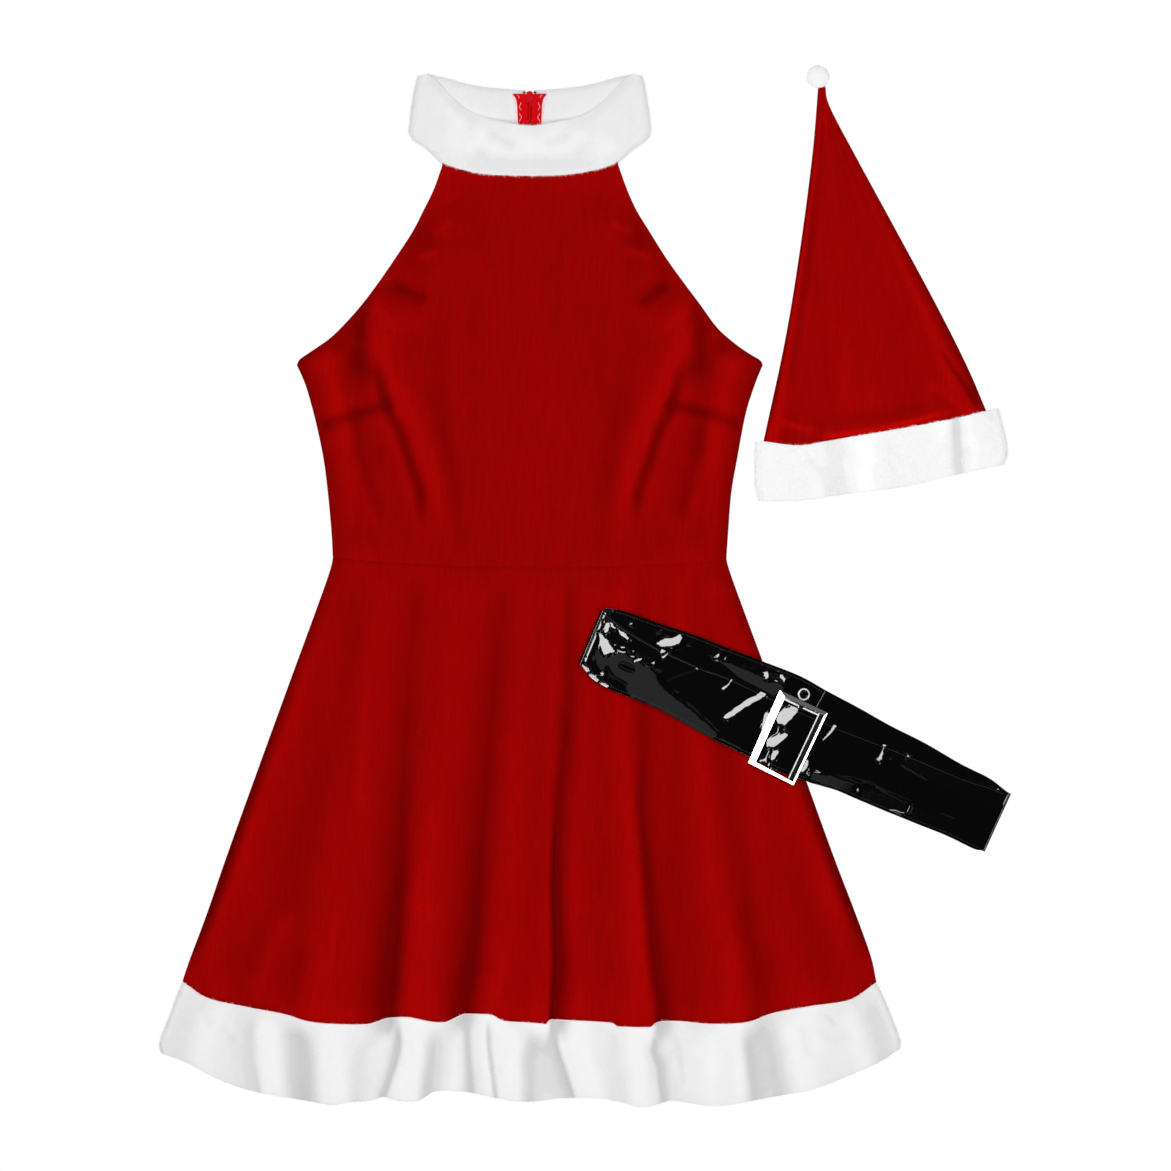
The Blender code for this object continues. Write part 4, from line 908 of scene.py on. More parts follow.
def grid_faces(rows, columns, ring_down=False, ring_across=False):
    """Four-sided faces of a point grid, facing up when rows run down and columns across."""
    i = np.arange(rows if ring_down else rows - 1)[:, None]
    j = np.arange(columns if ring_across else columns - 1)[None, :]
    n, m = (i + 1) % rows, (j + 1) % columns
    corners = [i * columns + j, n * columns + j, n * columns + m, i * columns + m]
    return np.stack([np.broadcast_to(c, (i.size, j.size)) for c in corners], axis=-1).reshape(-1, 4)


def grid_mesh(name, grid, **rings):
    return make_mesh(name, grid.reshape(-1, 3), grid_faces(*grid.shape[:2], **rings))


def new_object(name, data):
    item = bpy.data.objects.new(name, data)
    bpy.context.scene.collection.objects.link(item)
    return item


def add(name, mesh, looks, node=None):
    """A piece of the costume, which stands for a solid if one is named."""
    item = new_object(name, mesh)
    for look in looks.split():
        for material in LOOKS[look]:
            mesh.materials.append(material)
    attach(item, "costume")
    if node:
        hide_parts(node)
    return item


def thicken(item, thickness):
    """Gives a sheet its thickness, half to each side."""
    shell = item.modifiers.new("thickness", "SOLIDIFY")
    shell.thickness = thickness * MM
    shell.offset = 0.0


def round_edges(item, segments, **settings):
    soften = item.modifiers.new("round_edges", "BEVEL")
    soften.width = 0.3 * MM
    soften.segments = segments
    for key, value in settings.items():
        setattr(soften, key, value)


def turned_under(spots):
    """A cloth grid with its four borders turned under by the cloth's thickness and a hem."""

    def rim(edge, inner):
        away = edge - inner
        away[:, 2] = 0
        away = unit(away)
        return [edge + away * out * MM - np.array([0, 0, drop * MM]) for out, drop in EDGE_TURNS]

    left, right = rim(spots[:, 0], spots[:, 1]), rim(spots[:, -1], spots[:, -2])
    spots = np.concatenate([np.stack(left[::-1], 1), spots, np.stack(right, 1)], axis=1)
    top, bottom = rim(spots[0], spots[1]), rim(spots[-1], spots[-2])
    spots = np.concatenate([np.stack(top[::-1], 0), spots, np.stack(bottom, 0)], axis=0)
    spots[..., 2] = np.maximum(spots[..., 2], (VELVET + SEAM_GAP) * MM)
    return spots


# Painted shade per point, which the materials turn into darker hollows and lighter ridges
def set_painted_shade(mesh, painted_shade):
    values = mesh.attributes.new("painted_shade", "FLOAT", "POINT")
    values.data.foreach_set("value", np.ascontiguousarray(painted_shade, np.float32).ravel())


def cloth(node, plan, heights, blur, scale, slope_shade=0.6, painted_sheen=0.0):
    """Velvet panel whose top face lies on a grid of plan points, with painted shade that darkens its hollows,
    lightens its ridges and shades its steep parts by slope_shade, plus any painted sheen given.
    """
    name = f"{node}_cloth"
    mesh = grid_mesh(name, turned_under(place(plan, heights + VELVET / 2)))
    slope = np.gradient(heights, axis=1) / np.maximum(np.gradient(plan[..., 0], axis=1), 0.1) * STEP
    painted_shade = np.minimum(painted_shade_of(heights, blur, scale, slope, slope_shade), PAINTED_SHADE_TOP) + painted_sheen
    set_painted_shade(mesh, np.pad(painted_shade, len(EDGE_TURNS), mode="edge"))
    return add(name, mesh, "velvet", node)


def flat_cloth(node, plan):
    """Velvet panel lying flat on the table."""
    name = f"{node}_cloth"
    panel = add(name, grid_mesh(name, place(plan, VELVET / 2)), "velvet", node)
    thicken(panel, VELVET)
    declare_panel(plan)
    return panel


def grid_normals(grid, ring):
    """Unit normals of a point grid, up for a grid whose rows run down and columns across."""
    wide = np.concatenate([grid[:, -1:], grid, grid[:, :1]], axis=1) if ring else grid
    normals = unit(np.cross(np.gradient(wide, axis=0), np.gradient(wide, axis=1)))
    return normals[:, 1:-1] if ring else normals


def quads(grid):
    """Four corners of each face of a point grid."""
    return grid[:-1, :-1], grid[1:, :-1], grid[1:, 1:], grid[:-1, 1:]


def twice_areas(grid):
    a, b, c, d = quads(grid)
    return np.linalg.norm(np.cross(c - a, d - b), axis=-1)


def scatter(fields, count, rng):
    """Values of point grids at random spots, spread evenly over the first, which holds the points."""
    area = twice_areas(fields[0]).ravel()
    chosen = rng.choice(area.size, count, p=area / area.sum())
    u, v = rng.random((count, 1)), rng.random((count, 1))
    found = []
    for field in fields:
        a, b, c, d = [corner.reshape(-1, field.shape[-1])[chosen] for corner in quads(field)]
        found.append((a * (1 - u) + d * u) * (1 - v) + (b * (1 - u) + c * u) * v)
    return found


def strands(name, spots, normals, painted_shade, length, lean, rng, look):
    """Short fur strands, one narrow triangle each, shaded with the fur's own surface."""
    count = len(spots)
    wander = rng.normal(0, 1, (count, 3))
    wander -= normals * np.sum(wander * normals, axis=1, keepdims=True)
    along = unit(normals + wander * lean)
    shading = normals * 0.55 + np.where(normals[:, 2:] > FACING_DOWN, 1, -1) * [0, 0, 0.6]
    shading = unit(shading + rng.normal(0, 0.06, (count, 3)))
    reach = length * (0.6 + 0.8 * rng.random((count, 1))) * MM
    half = unit(np.cross(along, shading)) * STRAND_WIDTH / 2 * MM
    tips = spots + along * reach
    tips[:, 2] = np.maximum(tips[:, 2], 0.0001)
    points = np.stack([spots - half, spots + half, tips], axis=1).reshape(-1, 3)
    points[:, 2] = np.maximum(points[:, 2], 0.0)
    mesh = make_mesh(name, points, np.arange(count * 3).reshape(-1, 3))
    # Each strand takes the step of painted shade of the fur where it grows
    tone = np.digitize(painted_shade[:, 0], PAINTED_SHADE_LIMITS).astype(np.int32)
    mesh.polygons.foreach_set("material_index", tone)
    mesh.normals_split_custom_set_from_vertices(np.repeat(shading, 3, axis=0))
    hair = add(name, mesh, look)
    hair.visible_shadow = False
    hair.visible_diffuse = False
    return hair


def fluff_normals(mesh):
    """Shade a fur strip's rims as fibres do, which catch the light from above."""
    normals = np.empty(len(mesh.vertices) * 3)
    mesh.vertex_normals.foreach_get("vector", normals)
    normals = normals.reshape(-1, 3)
    normals[:, 2] += np.where(normals[:, 2] > FACING_DOWN, 0.75, 0.0)
    mesh.normals_split_custom_set_from_vertices(unit(normals))


def share_of_row(line, inset, count):
    """Points along a row after leaving out a length at both ends."""
    return at_run(line, inset + (line_run(line)[-1] - inset - inset) * even(count))


def with_ends(section, shade):
    """An open strip's section and shade, with both its ends drawn in."""
    middle = section.mean(axis=0)
    ends = []
    for end, sizes in ((0, (0.05, 0.5, 0.85)), (-1, (0.85, 0.5, 0.05))):
        rings = [middle[end] + (section[:, end] - middle[end]) * [1, 1, size] for size in sizes]
        ends.append(np.stack(rings, axis=1))
    return np.concatenate([ends[0], section, ends[1]], axis=1), np.pad(shade, ((0, 0), (3, 3)))


def fill_holes(mesh):
    shape = bmesh.new()
    shape.from_mesh(mesh)
    bmesh.ops.holes_fill(shape, edges=[edge for edge in shape.edges if edge.is_boundary], sides=0)
    shape.to_mesh(mesh)
    shape.free()


def fur_band(node, plans, fur, front_mid, counts, kind="dress", open_half=0.0, back_fur=None, dip=None):
    """A fur strip folded flat round both sides. Returns the piece, its outer and inner grids and its painted
    shade.
    """
    front_plan, back_plan = plans
    axis = fur + SEAM_GAP / 2
    inset = axis * STEP
    radius = (fur + SEAM_GAP) / 2
    flat_mid = axis + radius
    angles = np.radians(np.linspace(15, 165, 11))
    share = (1 - np.cos(angles)) / 2
    outer, inner, levels, columns = [], [], [], []
    for j, v in enumerate(BAND_ROWS):
        depth = fur * mix(EDGE_SHARE, 1, math.sqrt(max(0.0, 1 - abs(2 * v - 1) ** 5)))
        front = share_of_row(front_plan[j], inset, counts[0])
        from_side = np.minimum(
            np.linalg.norm(front - front[0], axis=1), np.linalg.norm(front - front[-1], axis=1)
        )
        mids = mix(flat_mid, front_mid(front[:, 0], front[:, 1]), ease(from_side / 36.0))
        levels.append(mids)
        if dip:
            mids = mids - dip(front[:, 0], front[:, 1])
        columns.append(front[:, 0])
        back = share_of_row(back_plan[j], inset, counts[1])
        if open_half:
            away = back[:, 0] - ZIP_COLUMN
            back[:, 0] = ZIP_COLUMN + np.where(away < 0, -1, 1) * np.maximum(np.abs(away), open_half)
        depths = depth * (back_fur(back[:, 0]) if back_fur else np.ones(len(back)))
        for sign, lines in ((1, outer), (-1, inner)):
            start = radius + sign * depth / 2
            finish = axis if sign > 0 else axis - depth
            reach = (start * (1 - share) + finish * share)[:, None]
            arcs = []
            for side in (0, -1):
                outward = front_plan[j][side] - front[side]
                outward = outward / np.linalg.norm(outward)
                spots = front[side] + outward * reach * np.sin(angles)[:, None] * STEP
                arcs.append(place(spots, axis + reach[:, 0] * np.cos(angles)))
            top = place(front, mids + sign * depth / 2)
            under = place(back, depths * (0.0 if sign > 0 else 1.0))[::-1]
            if open_half:
                middle = len(under) // 2
                parts = [under[middle:], arcs[0][::-1], top, arcs[1], under[:middle]]
            else:
                parts = [top, arcs[1], under, arcs[0][::-1]]
            lines.append(np.vstack(parts))
    outer, inner, levels, columns = [np.array(rows) for rows in (outer, inner, levels, columns)]
    slope = np.gradient(levels, axis=1) / np.gradient(columns, axis=1) * STEP
    painted_shade = np.zeros(outer.shape[:2])
    first = len(back) - len(back) // 2 + len(angles) if open_half else 0
    axes = (0, 1) if dip else (1,)
    # Painted shade of the fur: darker in the hollows of its folds and on its slopes
    painted_shade[:, first : first + counts[0]] = painted_shade_of(levels, 9, 3.2, slope, 0.55, axes)
    few = [-1, -4, -8, len(BAND_ROWS) // 2, 7, 3, 0]
    section = np.concatenate([outer, inner[few]], axis=0)
    shade = np.concatenate([painted_shade, painted_shade[few]], axis=0)
    if open_half:
        section, shade = with_ends(section, shade)
    name = f"{node}_fur"
    mesh = grid_mesh(name, section, ring_down=True, ring_across=not open_half)
    set_painted_shade(mesh, shade)
    if open_half:
        fill_holes(mesh)
    fluff_normals(mesh)
    return add(name, mesh, f"{kind}_fur", node), outer, inner, painted_shade


def finish_fur(made, node, plans, count, length, seed, kind="dress", inside=0, clear=None):
    """Strands over a fur strip. The strip's cut size is worked out but not used."""
    band, outer, inner, painted_shade = made
    rng = np.random.default_rng(seed)
    found = scatter([outer, grid_normals(outer, ring=not inside), painted_shade[..., None]], count, rng)
    if inside:
        more = scatter([inner, -grid_normals(inner, ring=False), painted_shade[..., None] * 0], inside, rng)
        found = [np.vstack(pair) for pair in zip(found, more)]
    if clear:
        keep = clear(found[0])
        found = [values[keep] for values in found]
    hair = strands(f"{node}_strands", *found, length, 0.9, rng, f"{kind}_strands")
    front, back = plans
    width = (line_run(front[0])[-1] + line_run(back[0])[-1]) * GRID
    depth = line_run(front[:, front.shape[1] // 8])[-1] * GRID
    area = min(area_of(front) + area_of(back), width * depth)


def band_plan(top, bottom, left, right, count):
    """Plan rows of a band, one for each of BAND_ROWS, its sides starting at its top's own ends."""
    sides = sample([top[0]] + left[1:], BAND_ROWS), sample([top[-1]] + right[1:], BAND_ROWS)
    return patch(sample(top, even(count)), sample(bottom, even(count)), *sides)


def area_of(plan):
    """Flat area of a plan grid in square metres."""
    return float(twice_areas(place(plan, 0)).sum() / 2)


def declare_panel(plan, fullness=1.0):
    """Works out a panel's cut size: its plan box, with the extra width that its folds take up. The result is
    not used.
    """
    width = np.ptp(plan[..., 0]) * GRID * fullness
    length = np.ptp(plan[..., 1]) * GRID
    area = min(area_of(plan) * fullness, width * length)


# Dress
def build_bodice():
    across, arm, side = even(191), even(95), even(76)[1:]
    left = np.vstack([sample(ARMHOLE_LEFT, arm), sample(SIDE_LEFT, side)])
    right = np.vstack([sample(ARMHOLE_RIGHT, arm), sample(SIDE_RIGHT, side)])
    low_neck = moved_down(NECK, SEAM_GAP * STEP - 3.0)
    left[0], right[0] = low_neck[0], low_neck[-1]
    plan = patch(sample(low_neck, across), sample(moved_down(WAIST, 1.5), across), left, right)
    c, r = plan[..., 0], plan[..., 1]
    heights = bodice_height(c, r)
    heights += 0.25 * noise(c, r, (16, 60), 11) * ramp(r, 230, 290)
    heights += 0.22 * noise(c, r, (9, 30), 12) * ramp(r, 500, 550)
    panel = cloth("bodice_front", plan, heights, 6, 2.2)
    backs = back_halves("bodice_back", moved_down(NECK, SEAM_GAP * STEP), WAIST, left, right)
    declare_panel(plan, 1.02)


def back_halves(name, top, bottom, left, right):
    """Two flat back panels that meet at the centre-back seam."""
    columns = even(61)
    across = patch(sample(top, columns), sample(bottom, columns), left[::3], right[::3])
    middle = len(columns) // 2
    panels = []
    for side, sign in (("left", -1), ("right", 1)):
        half = across[:, : middle + 1].copy() if sign < 0 else across[:, middle:].copy()
        half[:, middle if sign < 0 else 0, 0] = ZIP_COLUMN + sign * SEAM_GAP * STEP / 2
        panels.append(flat_cloth(f"{name}_{side}", half))
    return panels


def build_skirt():
    across = np.array(sorted(list(even(211)) + list(np.linspace(0.522, 0.546, 9))))
    down = even(141)
    low_waist = moved_down(WAIST, SEAM_GAP * STEP)
    left = sample([low_waist[0]] + SKIRT_LEFT[1:], down)
    right = sample([low_waist[-1]] + SKIRT_RIGHT[1:], down)
    top = sample(moved_down(low_waist, -3.0), across)
    left[0], right[0] = top[0], top[-1]
    plan = patch(top, sample(moved_down(HEM_SEAM, 2.0), across), left, right)
    c, r = plan[..., 0], plan[..., 1]
    heights = skirt_height(c, r)
    heights += 0.45 * noise(c, r, (17, 190), 21) * ramp(r, 580, 660)
    heights += 0.30 * noise(c, r, (8, 46), 22) * ramp(r, 960, 1000)
    heights -= 1.6 * ease((r - column_row(HEM_SEAM, c) + 3.5) / 4.0)
    heights -= 0.9 * ease(1 - (r - column_row(WAIST, c)) / 2.5)
    panel = cloth("skirt_front", plan, heights, 7, 3.2)
    backs = back_halves("skirt_back", low_waist, HEM_SEAM_BACK, left, right)
    declare_panel(plan, 1.06)


def build_hem():
    top = moved_down(HEM_SEAM, 0.8)
    back_top = moved_down(HEM_SEAM_BACK, 0.4)
    left, right = [top[0]] + HEM_LEFT[1:], [top[-1]] + HEM_RIGHT[1:]
    sides = sample(left, BAND_ROWS), sample(right, BAND_ROWS)
    plans = [
        patch(sample(line, even(count)), sample(edge, even(count)), *sides)
        for line, edge, count in ((top, HEM_EDGE, 481), (back_top, HEM_EDGE_BACK, 121))
    ]
    made = fur_band("hem_band", plans, HEM_FUR, hem_height, (361, 101))
    finish_fur(made, "hem_band", plans, count=185000, length=2.2, seed=31)
    line = sample(moved_down(HEM_SEAM, 0.9), even(600))[6:-6]
    levels = skirt_height(line[:, 0], np.minimum(line[:, 1], SKIRT_END)) + VELVET / 2 + 0.6
    loops = [((c, r, high), (1.0, 0.85, 0.5)) for (c, r), high in zip(line, levels)]
    beads("hem_piping", loops, "pale_thread", FEW_SIDES)


def build_collar():
    tops = (COLLAR_FRONT_TOP, COLLAR_BACK_TOP)
    plans = [band_plan(top, NECK, COLLAR_LEFT, COLLAR_RIGHT, 121) for top in tops]
    opening = {"open_half": ZIP_CHANNEL / 2 * STEP, "back_fur": back_fur_share}
    made = fur_band("collar", plans, COLLAR_FUR, collar_height, (131, 100), dip=collar_dip, **opening)

    def away_from_zip(spots):
        across = np.abs(spots[:, 0] / GRID + LAYOUT_MID - ZIP_COLUMN)
        return (across > TAPE_REACH) | (spots[:, 2] > ZIP_CLEAR * MM)

    finish_fur(made, "collar", plans, count=80000, length=2.4, seed=32, inside=30000, clear=away_from_zip)


def along_tape(row, part):
    """Outer edge (part 1) or height (part 2) of the zip tapes at a row."""
    run = np.array(TAPE_RUN)
    return np.interp(row, run[:, 0], run[:, part])


def build_zip():
    """Tapes with woven ribs, stitching and the coil between them."""
    pitch = 1.1
    rows = np.arange(93.5, 620.0, pitch)
    outer, high = along_tape(rows, 1), along_tape(rows, 2)
    inner = TAPE_GAP / 2 * STEP
    across = even(13)[None, :]
    ribs = 0.06 * np.cos(across * math.pi * 12)
    for side, sign in (("left", -1), ("right", 1)):
        columns = ZIP_COLUMN + sign * (inner + (outer[:, None] - inner) * across)
        plan = np.stack([columns, np.broadcast_to(rows[:, None], columns.shape)], axis=-1)
        name = f"zip_tape_{side}_weave"
        mesh = grid_mesh(name, place(plan, high[:, None] + ribs))
        tape = add(name, mesh, "tape", f"zip_tape_{side}")
        thicken(tape, 0.6)
    teeth = []
    for k, row in enumerate(np.arange(94.5, 619.0, 1.35 * STEP)):
        column = ZIP_COLUMN + (0.4 if k % 2 else -0.4)
        teeth.append(((column, row, along_tape(row, 2) + 0.1), (2.2, 1.1, 0.8)))
    for column, row in ((524.5, 92.2), (529.7, 91.8), (534.8, 92.2)):
        teeth.append(((column, row, 5.9), (1.7, 1.2, 0.9)))
    beads("zip_coil", teeth, "coil")
    ridge = []
    for row in np.arange(103.5, 177.0, 1.2):
        ridge.append(((ZIP_COLUMN, row, along_tape(row, 2) + 0.75), (0.75, 0.8, 0.3)))
    beads("zip_coil_ridge", ridge, "tape", FEW_SIDES)
    stitches = []
    for side in (-1, 1):
        for row in np.arange(95.0, 124.0, 1.1):
            edge = along_tape(row, 1)
            wave = 0.9 * math.sin(row * 0.9)
            if math.sin(row * 0.55) > -0.5:
                stitches.append(((ZIP_COLUMN + side * (edge - 3.4 + wave), row, 6.1), (0.28, 0.5, 0.2)))
            stitches.append(((ZIP_COLUMN + side * (edge + 0.5), row + 1, 6.1), (1.15, 0.75, 0.4)))
    beads("zip_stitches", stitches, "pale_thread")


def beads(name, table, looks, segments=(8, 5)):
    """Piece of small rounded lumps: each (column, row, height), three half sizes, and a turn or none."""
    around, along = segments
    angles = np.linspace(0, 2 * math.pi, around, endpoint=False)
    rises = np.linspace(-math.pi / 2, math.pi / 2, along + 1)[1:-1]
    ball = [(0.0, 0.0, -1.0)]
    for rise in rises:
        ball += [(math.cos(rise) * math.cos(a), math.cos(rise) * math.sin(a), math.sin(rise)) for a in angles]
    ball = np.array(ball + [(0.0, 0.0, 1.0)])
    last = 1 + (len(rises) - 1) * around
    faces = []
    for k in range(around):
        n = (k + 1) % around
        faces.append((0, 1 + n, 1 + k))
        for a in range(1, last, around):
            b = a + around
            faces.append((a + k, a + n, b + n, b + k))
        faces.append((last + k, last + n, len(ball) - 1))
    verts, every = [], []
    for spot, sizes, *turn in table:
        angle = turn[0] if turn else 0.0
        ca, sa = math.cos(angle), math.sin(angle)
        x, y, z = (ball * np.array(sizes) * MM).T
        every += [tuple(len(verts) * len(ball) + k for k in face) for face in faces]
        turned = np.column_stack([x * ca - y * sa, x * sa + y * ca, z])
        verts.append(turned + place(np.array(spot[:2], float), spot[2]))
    mesh = bpy.data.meshes.new(name)
    mesh.from_pydata(np.vstack(verts).tolist(), [], every)
    mesh.shade_smooth()
    return add(name, mesh, looks)


# Hat
def build_hat():
    across, down = even(81), even(131)
    seam = sample(moved_down(HAT_SEAM, 1.5), across)
    plan = patch(sample(HAT_TIP, across), seam, sample(HAT_LEFT, down), sample(HAT_RIGHT, down))
    c, r = plan[..., 0], plan[..., 1]
    heights = hat_height(c, r)
    heights += creased(c, r, HAT_CREASES) * ramp(r, 110, 170) * ease((c - column_at(HAT_LEFT, r)) / 8)
    heights += 0.25 * noise(c, r, (14, 40), 41) * ramp(r, 130, 210)
    heights = np.maximum(heights, FRONT_EDGE)
    # Painted light on the hat's velvet: its colour lifted by 0.17 all over, a painted highlight along the
    # band, and a negative slope_shade that paints its steep parts lighter
    painted_sheen = 0.17 + creased(c, r, HAT_PAINTED_SHEEN)
    front = cloth("hat_front", plan, heights, 5, 1.8, slope_shade=-0.15, painted_sheen=painted_sheen)
    back = flat_cloth("hat_back", plan[::3, ::2])
    declare_panel(plan, 1.03)
    lines = band_plan(moved_down(HAT_BAND_TOP, 0.5), HAT_BAND_EDGE, HAT_BAND_LEFT, HAT_BAND_RIGHT, 121)
    made = fur_band("hat_band", (lines, lines), HAT_FUR, hat_band_height, (121, 61), kind="hat")
    finish_fur(made, "hat_band", (lines, lines), count=75000, length=2.0, seed=33, kind="hat")


def build_pompom():
    """Round core with a lumpy surface, and strands over it."""
    rows, columns = 25, 48
    rise = np.linspace(math.pi / 2 - 0.02, -math.pi / 2 + 0.02, rows)[:, None]
    turn = np.linspace(0, 2 * math.pi, columns, endpoint=False)[None, :]
    x, y, z = np.cos(rise) * np.cos(turn), np.cos(rise) * np.sin(turn), np.sin(rise) + 0 * turn
    ball = np.stack([x, y, z], axis=-1)
    lumps = (1 + 0.05 * noise(x * 60 + 200, y * 60 + z * 40 + 200, (16, 16), 8))[..., None]
    core_share = 0.82
    size = np.array([POMPOM["radius"], POMPOM["radius"], POMPOM["height"]]) * MM * core_share
    centre = place(np.array([POMPOM["column"], POMPOM["row"]]), POMPOM["height"] * core_share)
    grid = centre + ball * lumps * size
    grid[..., 2] = np.maximum(grid[..., 2], 0.0)
    spots = np.vstack([grid.reshape(-1, 3), grid[0].mean(axis=0), grid[-1].mean(axis=0)])
    faces = grid_faces(rows, columns, ring_across=True).tolist()
    last = (rows - 1) * columns
    for k in range(columns):
        n = (k + 1) % columns
        faces.append((k, n, rows * columns))
        faces.append((last + n, last + k, rows * columns + 1))
    mesh = bpy.data.meshes.new("hat_pompom_core")
    mesh.from_pydata(spots.tolist(), [], faces)
    mesh.shade_smooth()
    core = add("hat_pompom_core", mesh, "hat_fur", "hat_pompom")
    rng = np.random.default_rng(34)
    normals = unit(ball / size**2 * size[0]**2)
    fields = [np.concatenate([field, field[:, :1]], axis=1) for field in (grid, normals, lumps * 0)]
    strands("hat_pompom_strands", *scatter(fields, 22000, rng), 1.7, 0.7, rng, "hat_strands")


# Belt
def belt_lie(column):
    """Height of the surface that the belt rests on: the skirt, then down to the table."""
    table = np.array(BELT_LIE)
    return np.interp(column, table[:, 0], table[:, 1])


def belt_edge_below(line):
    """The strap's lower edge, one strap width from its upper edge."""
    along = unit(np.gradient(line, axis=0))
    return line + np.column_stack([-along[:, 1], along[:, 0]]) * BELT_WIDTH * STEP


def belt_across():
    """Shares across the strap, close together at the stitched edges."""
    edge = np.array([0, 0.4, 0.9, 1.6, 2.2, 2.6, 2.9, 3.2, 3.6, 4.4, 6.0]) / BELT_WIDTH
    middle = np.linspace(edge[-1], 1 - edge[-1], 49)[1:-1]
    return np.concatenate([edge, middle, 1 - edge[::-1]])


def build_belt():
    """One strap: overlapping end, back layer, left fold, front layer, right fold, tucked-in end."""
    count = 181
    back_top = sample(BELT_BACK_TOP, even(count))
    fold_left, fold_right = [
        np.array([BELT_FRONT_TOP[end], BELT_FRONT_LOW[end]], float) for end in (0, -1)
    ]

    def near_left(part):
        """1 at the left fold, falling to 0 over a part of the back layer. Reversed for the right."""
        return ease(1 - np.arange(count) / (part * (count - 1)))[:, None]

    back_low = mix(belt_edge_below(back_top), fold_left[1], near_left(14 / 60))
    back_low = mix(back_low, fold_right[1], near_left(14 / 60)[::-1])
    back_top[0], back_top[-1] = fold_left[0], fold_right[0]
    shares = np.concatenate([np.linspace(0, 0.62, 331), np.linspace(0.62, 1, 96)[1:]])
    front_top = sample(BELT_FRONT_TOP, shares)
    front_low = sample(BELT_FRONT_LOW, shares)
    t = belt_across()[None, :, None]
    low_mid = STRAP / 2
    high_mid = low_mid + BELT_LOOP
    centre = (low_mid + high_mid) / 2
    turns = np.radians(np.linspace(12, 168, 14))
    out_left = np.array([-0.94, -0.34])
    out_right = np.array([0.91, 0.42])
    inset = (BELT_LOOP + STRAP) / 2 * STEP

    def lines_between(top, low):
        return top[:, None] * (1 - t) + low[:, None] * t

    def fold(edge, outward, angles):
        ends = lines_between(edge[:1], edge[1:])[0]
        parts = []
        for angle in angles:
            spots = ends + outward * BELT_LOOP / 2 * math.sin(angle) * STEP
            parts.append(place(spots, belt_lie(ends[:, 0]) + centre - BELT_LOOP / 2 * math.cos(angle)))
        return np.array(parts)

    step_in = out_left * near_left(5 / 60) * inset
    overlap = lines_between(back_top - step_in, back_low - step_in)[::-1]
    overlap = overlap[back_top[::-1, 0] < BELT_LAP["left_end"]]
    lift = BELT_LAP["lift"] * ramp(overlap[..., 0], 745, 775)
    flat = belt_lie(overlap[..., 0]) + low_mid + lift
    upper = place(overlap, np.maximum(with_facets(overlap, flat, BACK_FACETS), flat - 0.7))
    at_left, at_right = ease(1 - shares * 9)[:, None], ease(1 - (1 - shares) * 9)[:, None]
    shift = -out_left * inset * at_left - out_right * inset * at_right
    front = lines_between(front_top + shift, front_low + shift)
    along = ((front_top + front_low) / 2 - np.mean(BUCKLE_OUTER, axis=0)) @ np.array([0.906, 0.423]) / STEP
    lift = (BUCKLE_BAR["lift"] * np.exp(-((along / np.where(along > 0, 13.0, 8.5)) ** 4)))[:, None]
    c, r = front[..., 0], front[..., 1]
    waves = creased(c, r, BELT_CREASES) + 0.3 * noise(c, r, (44, 38), 51) * ramp(c, 620, 680)
    waves -= 1.3 * ease(1 - np.abs(near_line(c, r, fold_left)[0]) / 7.5)
    from_edge = np.minimum(t, 1 - t)[..., 0] * BELT_WIDTH
    groove = -0.12 * np.exp(-(((from_edge - STITCH_INSET) / 0.8) ** 2))
    heights = with_facets(front, belt_lie(c) + high_mid + lift + waves + groove, FRONT_FACETS)
    face = place(front, heights + creased(c, r, BELT_MARKS))
    shift_out = out_right * near_left(5 / 60)[::-1] * inset
    under = lines_between(back_top - shift_out, back_low - shift_out)[::-1]
    under = under[back_top[::-1, 0] > BELT_LAP["right_end"]][::3]
    spots = np.concatenate([
        upper, fold(fold_left - out_left * inset, out_left, turns), face,
        fold(fold_right - out_right * inset, out_right, turns[::-1]),
        place(under, belt_lie(under[..., 0]) + low_mid),
    ], axis=0)
    mesh = grid_mesh("belt_strap_patent", spots)
    strap = add("belt_strap_patent", mesh, "patent", "belt_strap")
    thicken(strap, STRAP)
    stitches = []
    for edge_share in (STITCH_INSET / BELT_WIDTH, 1 - STITCH_INSET / BELT_WIDTH):
        index = int(np.argmin(np.abs(belt_across() - edge_share)))
        for part in (upper, face):
            line = part[:, index]
            run = line_run(line)
            for s in np.arange(4 * MM, run[-1] - 4 * MM, STITCH_PITCH * MM):
                (x, y, z), ahead = at_run(line, [s, s + MM])
                angle = math.atan2(ahead[1] - y, ahead[0] - x)
                spot = (x / GRID + LAYOUT_MID, LAYOUT_MID - y / GRID, z / MM + STRAP / 2 + 0.05)
                stitches.append((spot, (0.75, 0.28, 0.2), angle))
    thread = beads("belt_stitches", stitches, "thread", FEW_SIDES)


def tilted(mesh, column, row, height):
    """Mesh turned to the belt's slope and moved to its place."""
    spot = place(np.array([float(column), float(row)]), height)
    mesh.transform(Matrix.Translation(tuple(spot)) @ Matrix.Rotation(BELT_TILT, 4, "Y"))
    return mesh


def ridge_corners(outer, window, shares):
    """Corners of a line that lies at a share of each bar's width: top, right, bottom, left bar."""
    corners = []
    for k in range(4):
        ahead = outer[(k + 1) % 4] - outer[k]
        behind = outer[k - 1] - outer[k]
        a, b = np.linalg.solve(np.column_stack([ahead, behind]), window[k] - outer[k])
        corners.append(outer[k] + ahead * a * shares[k - 1] + behind * b * shares[k])
    return np.array(corners)


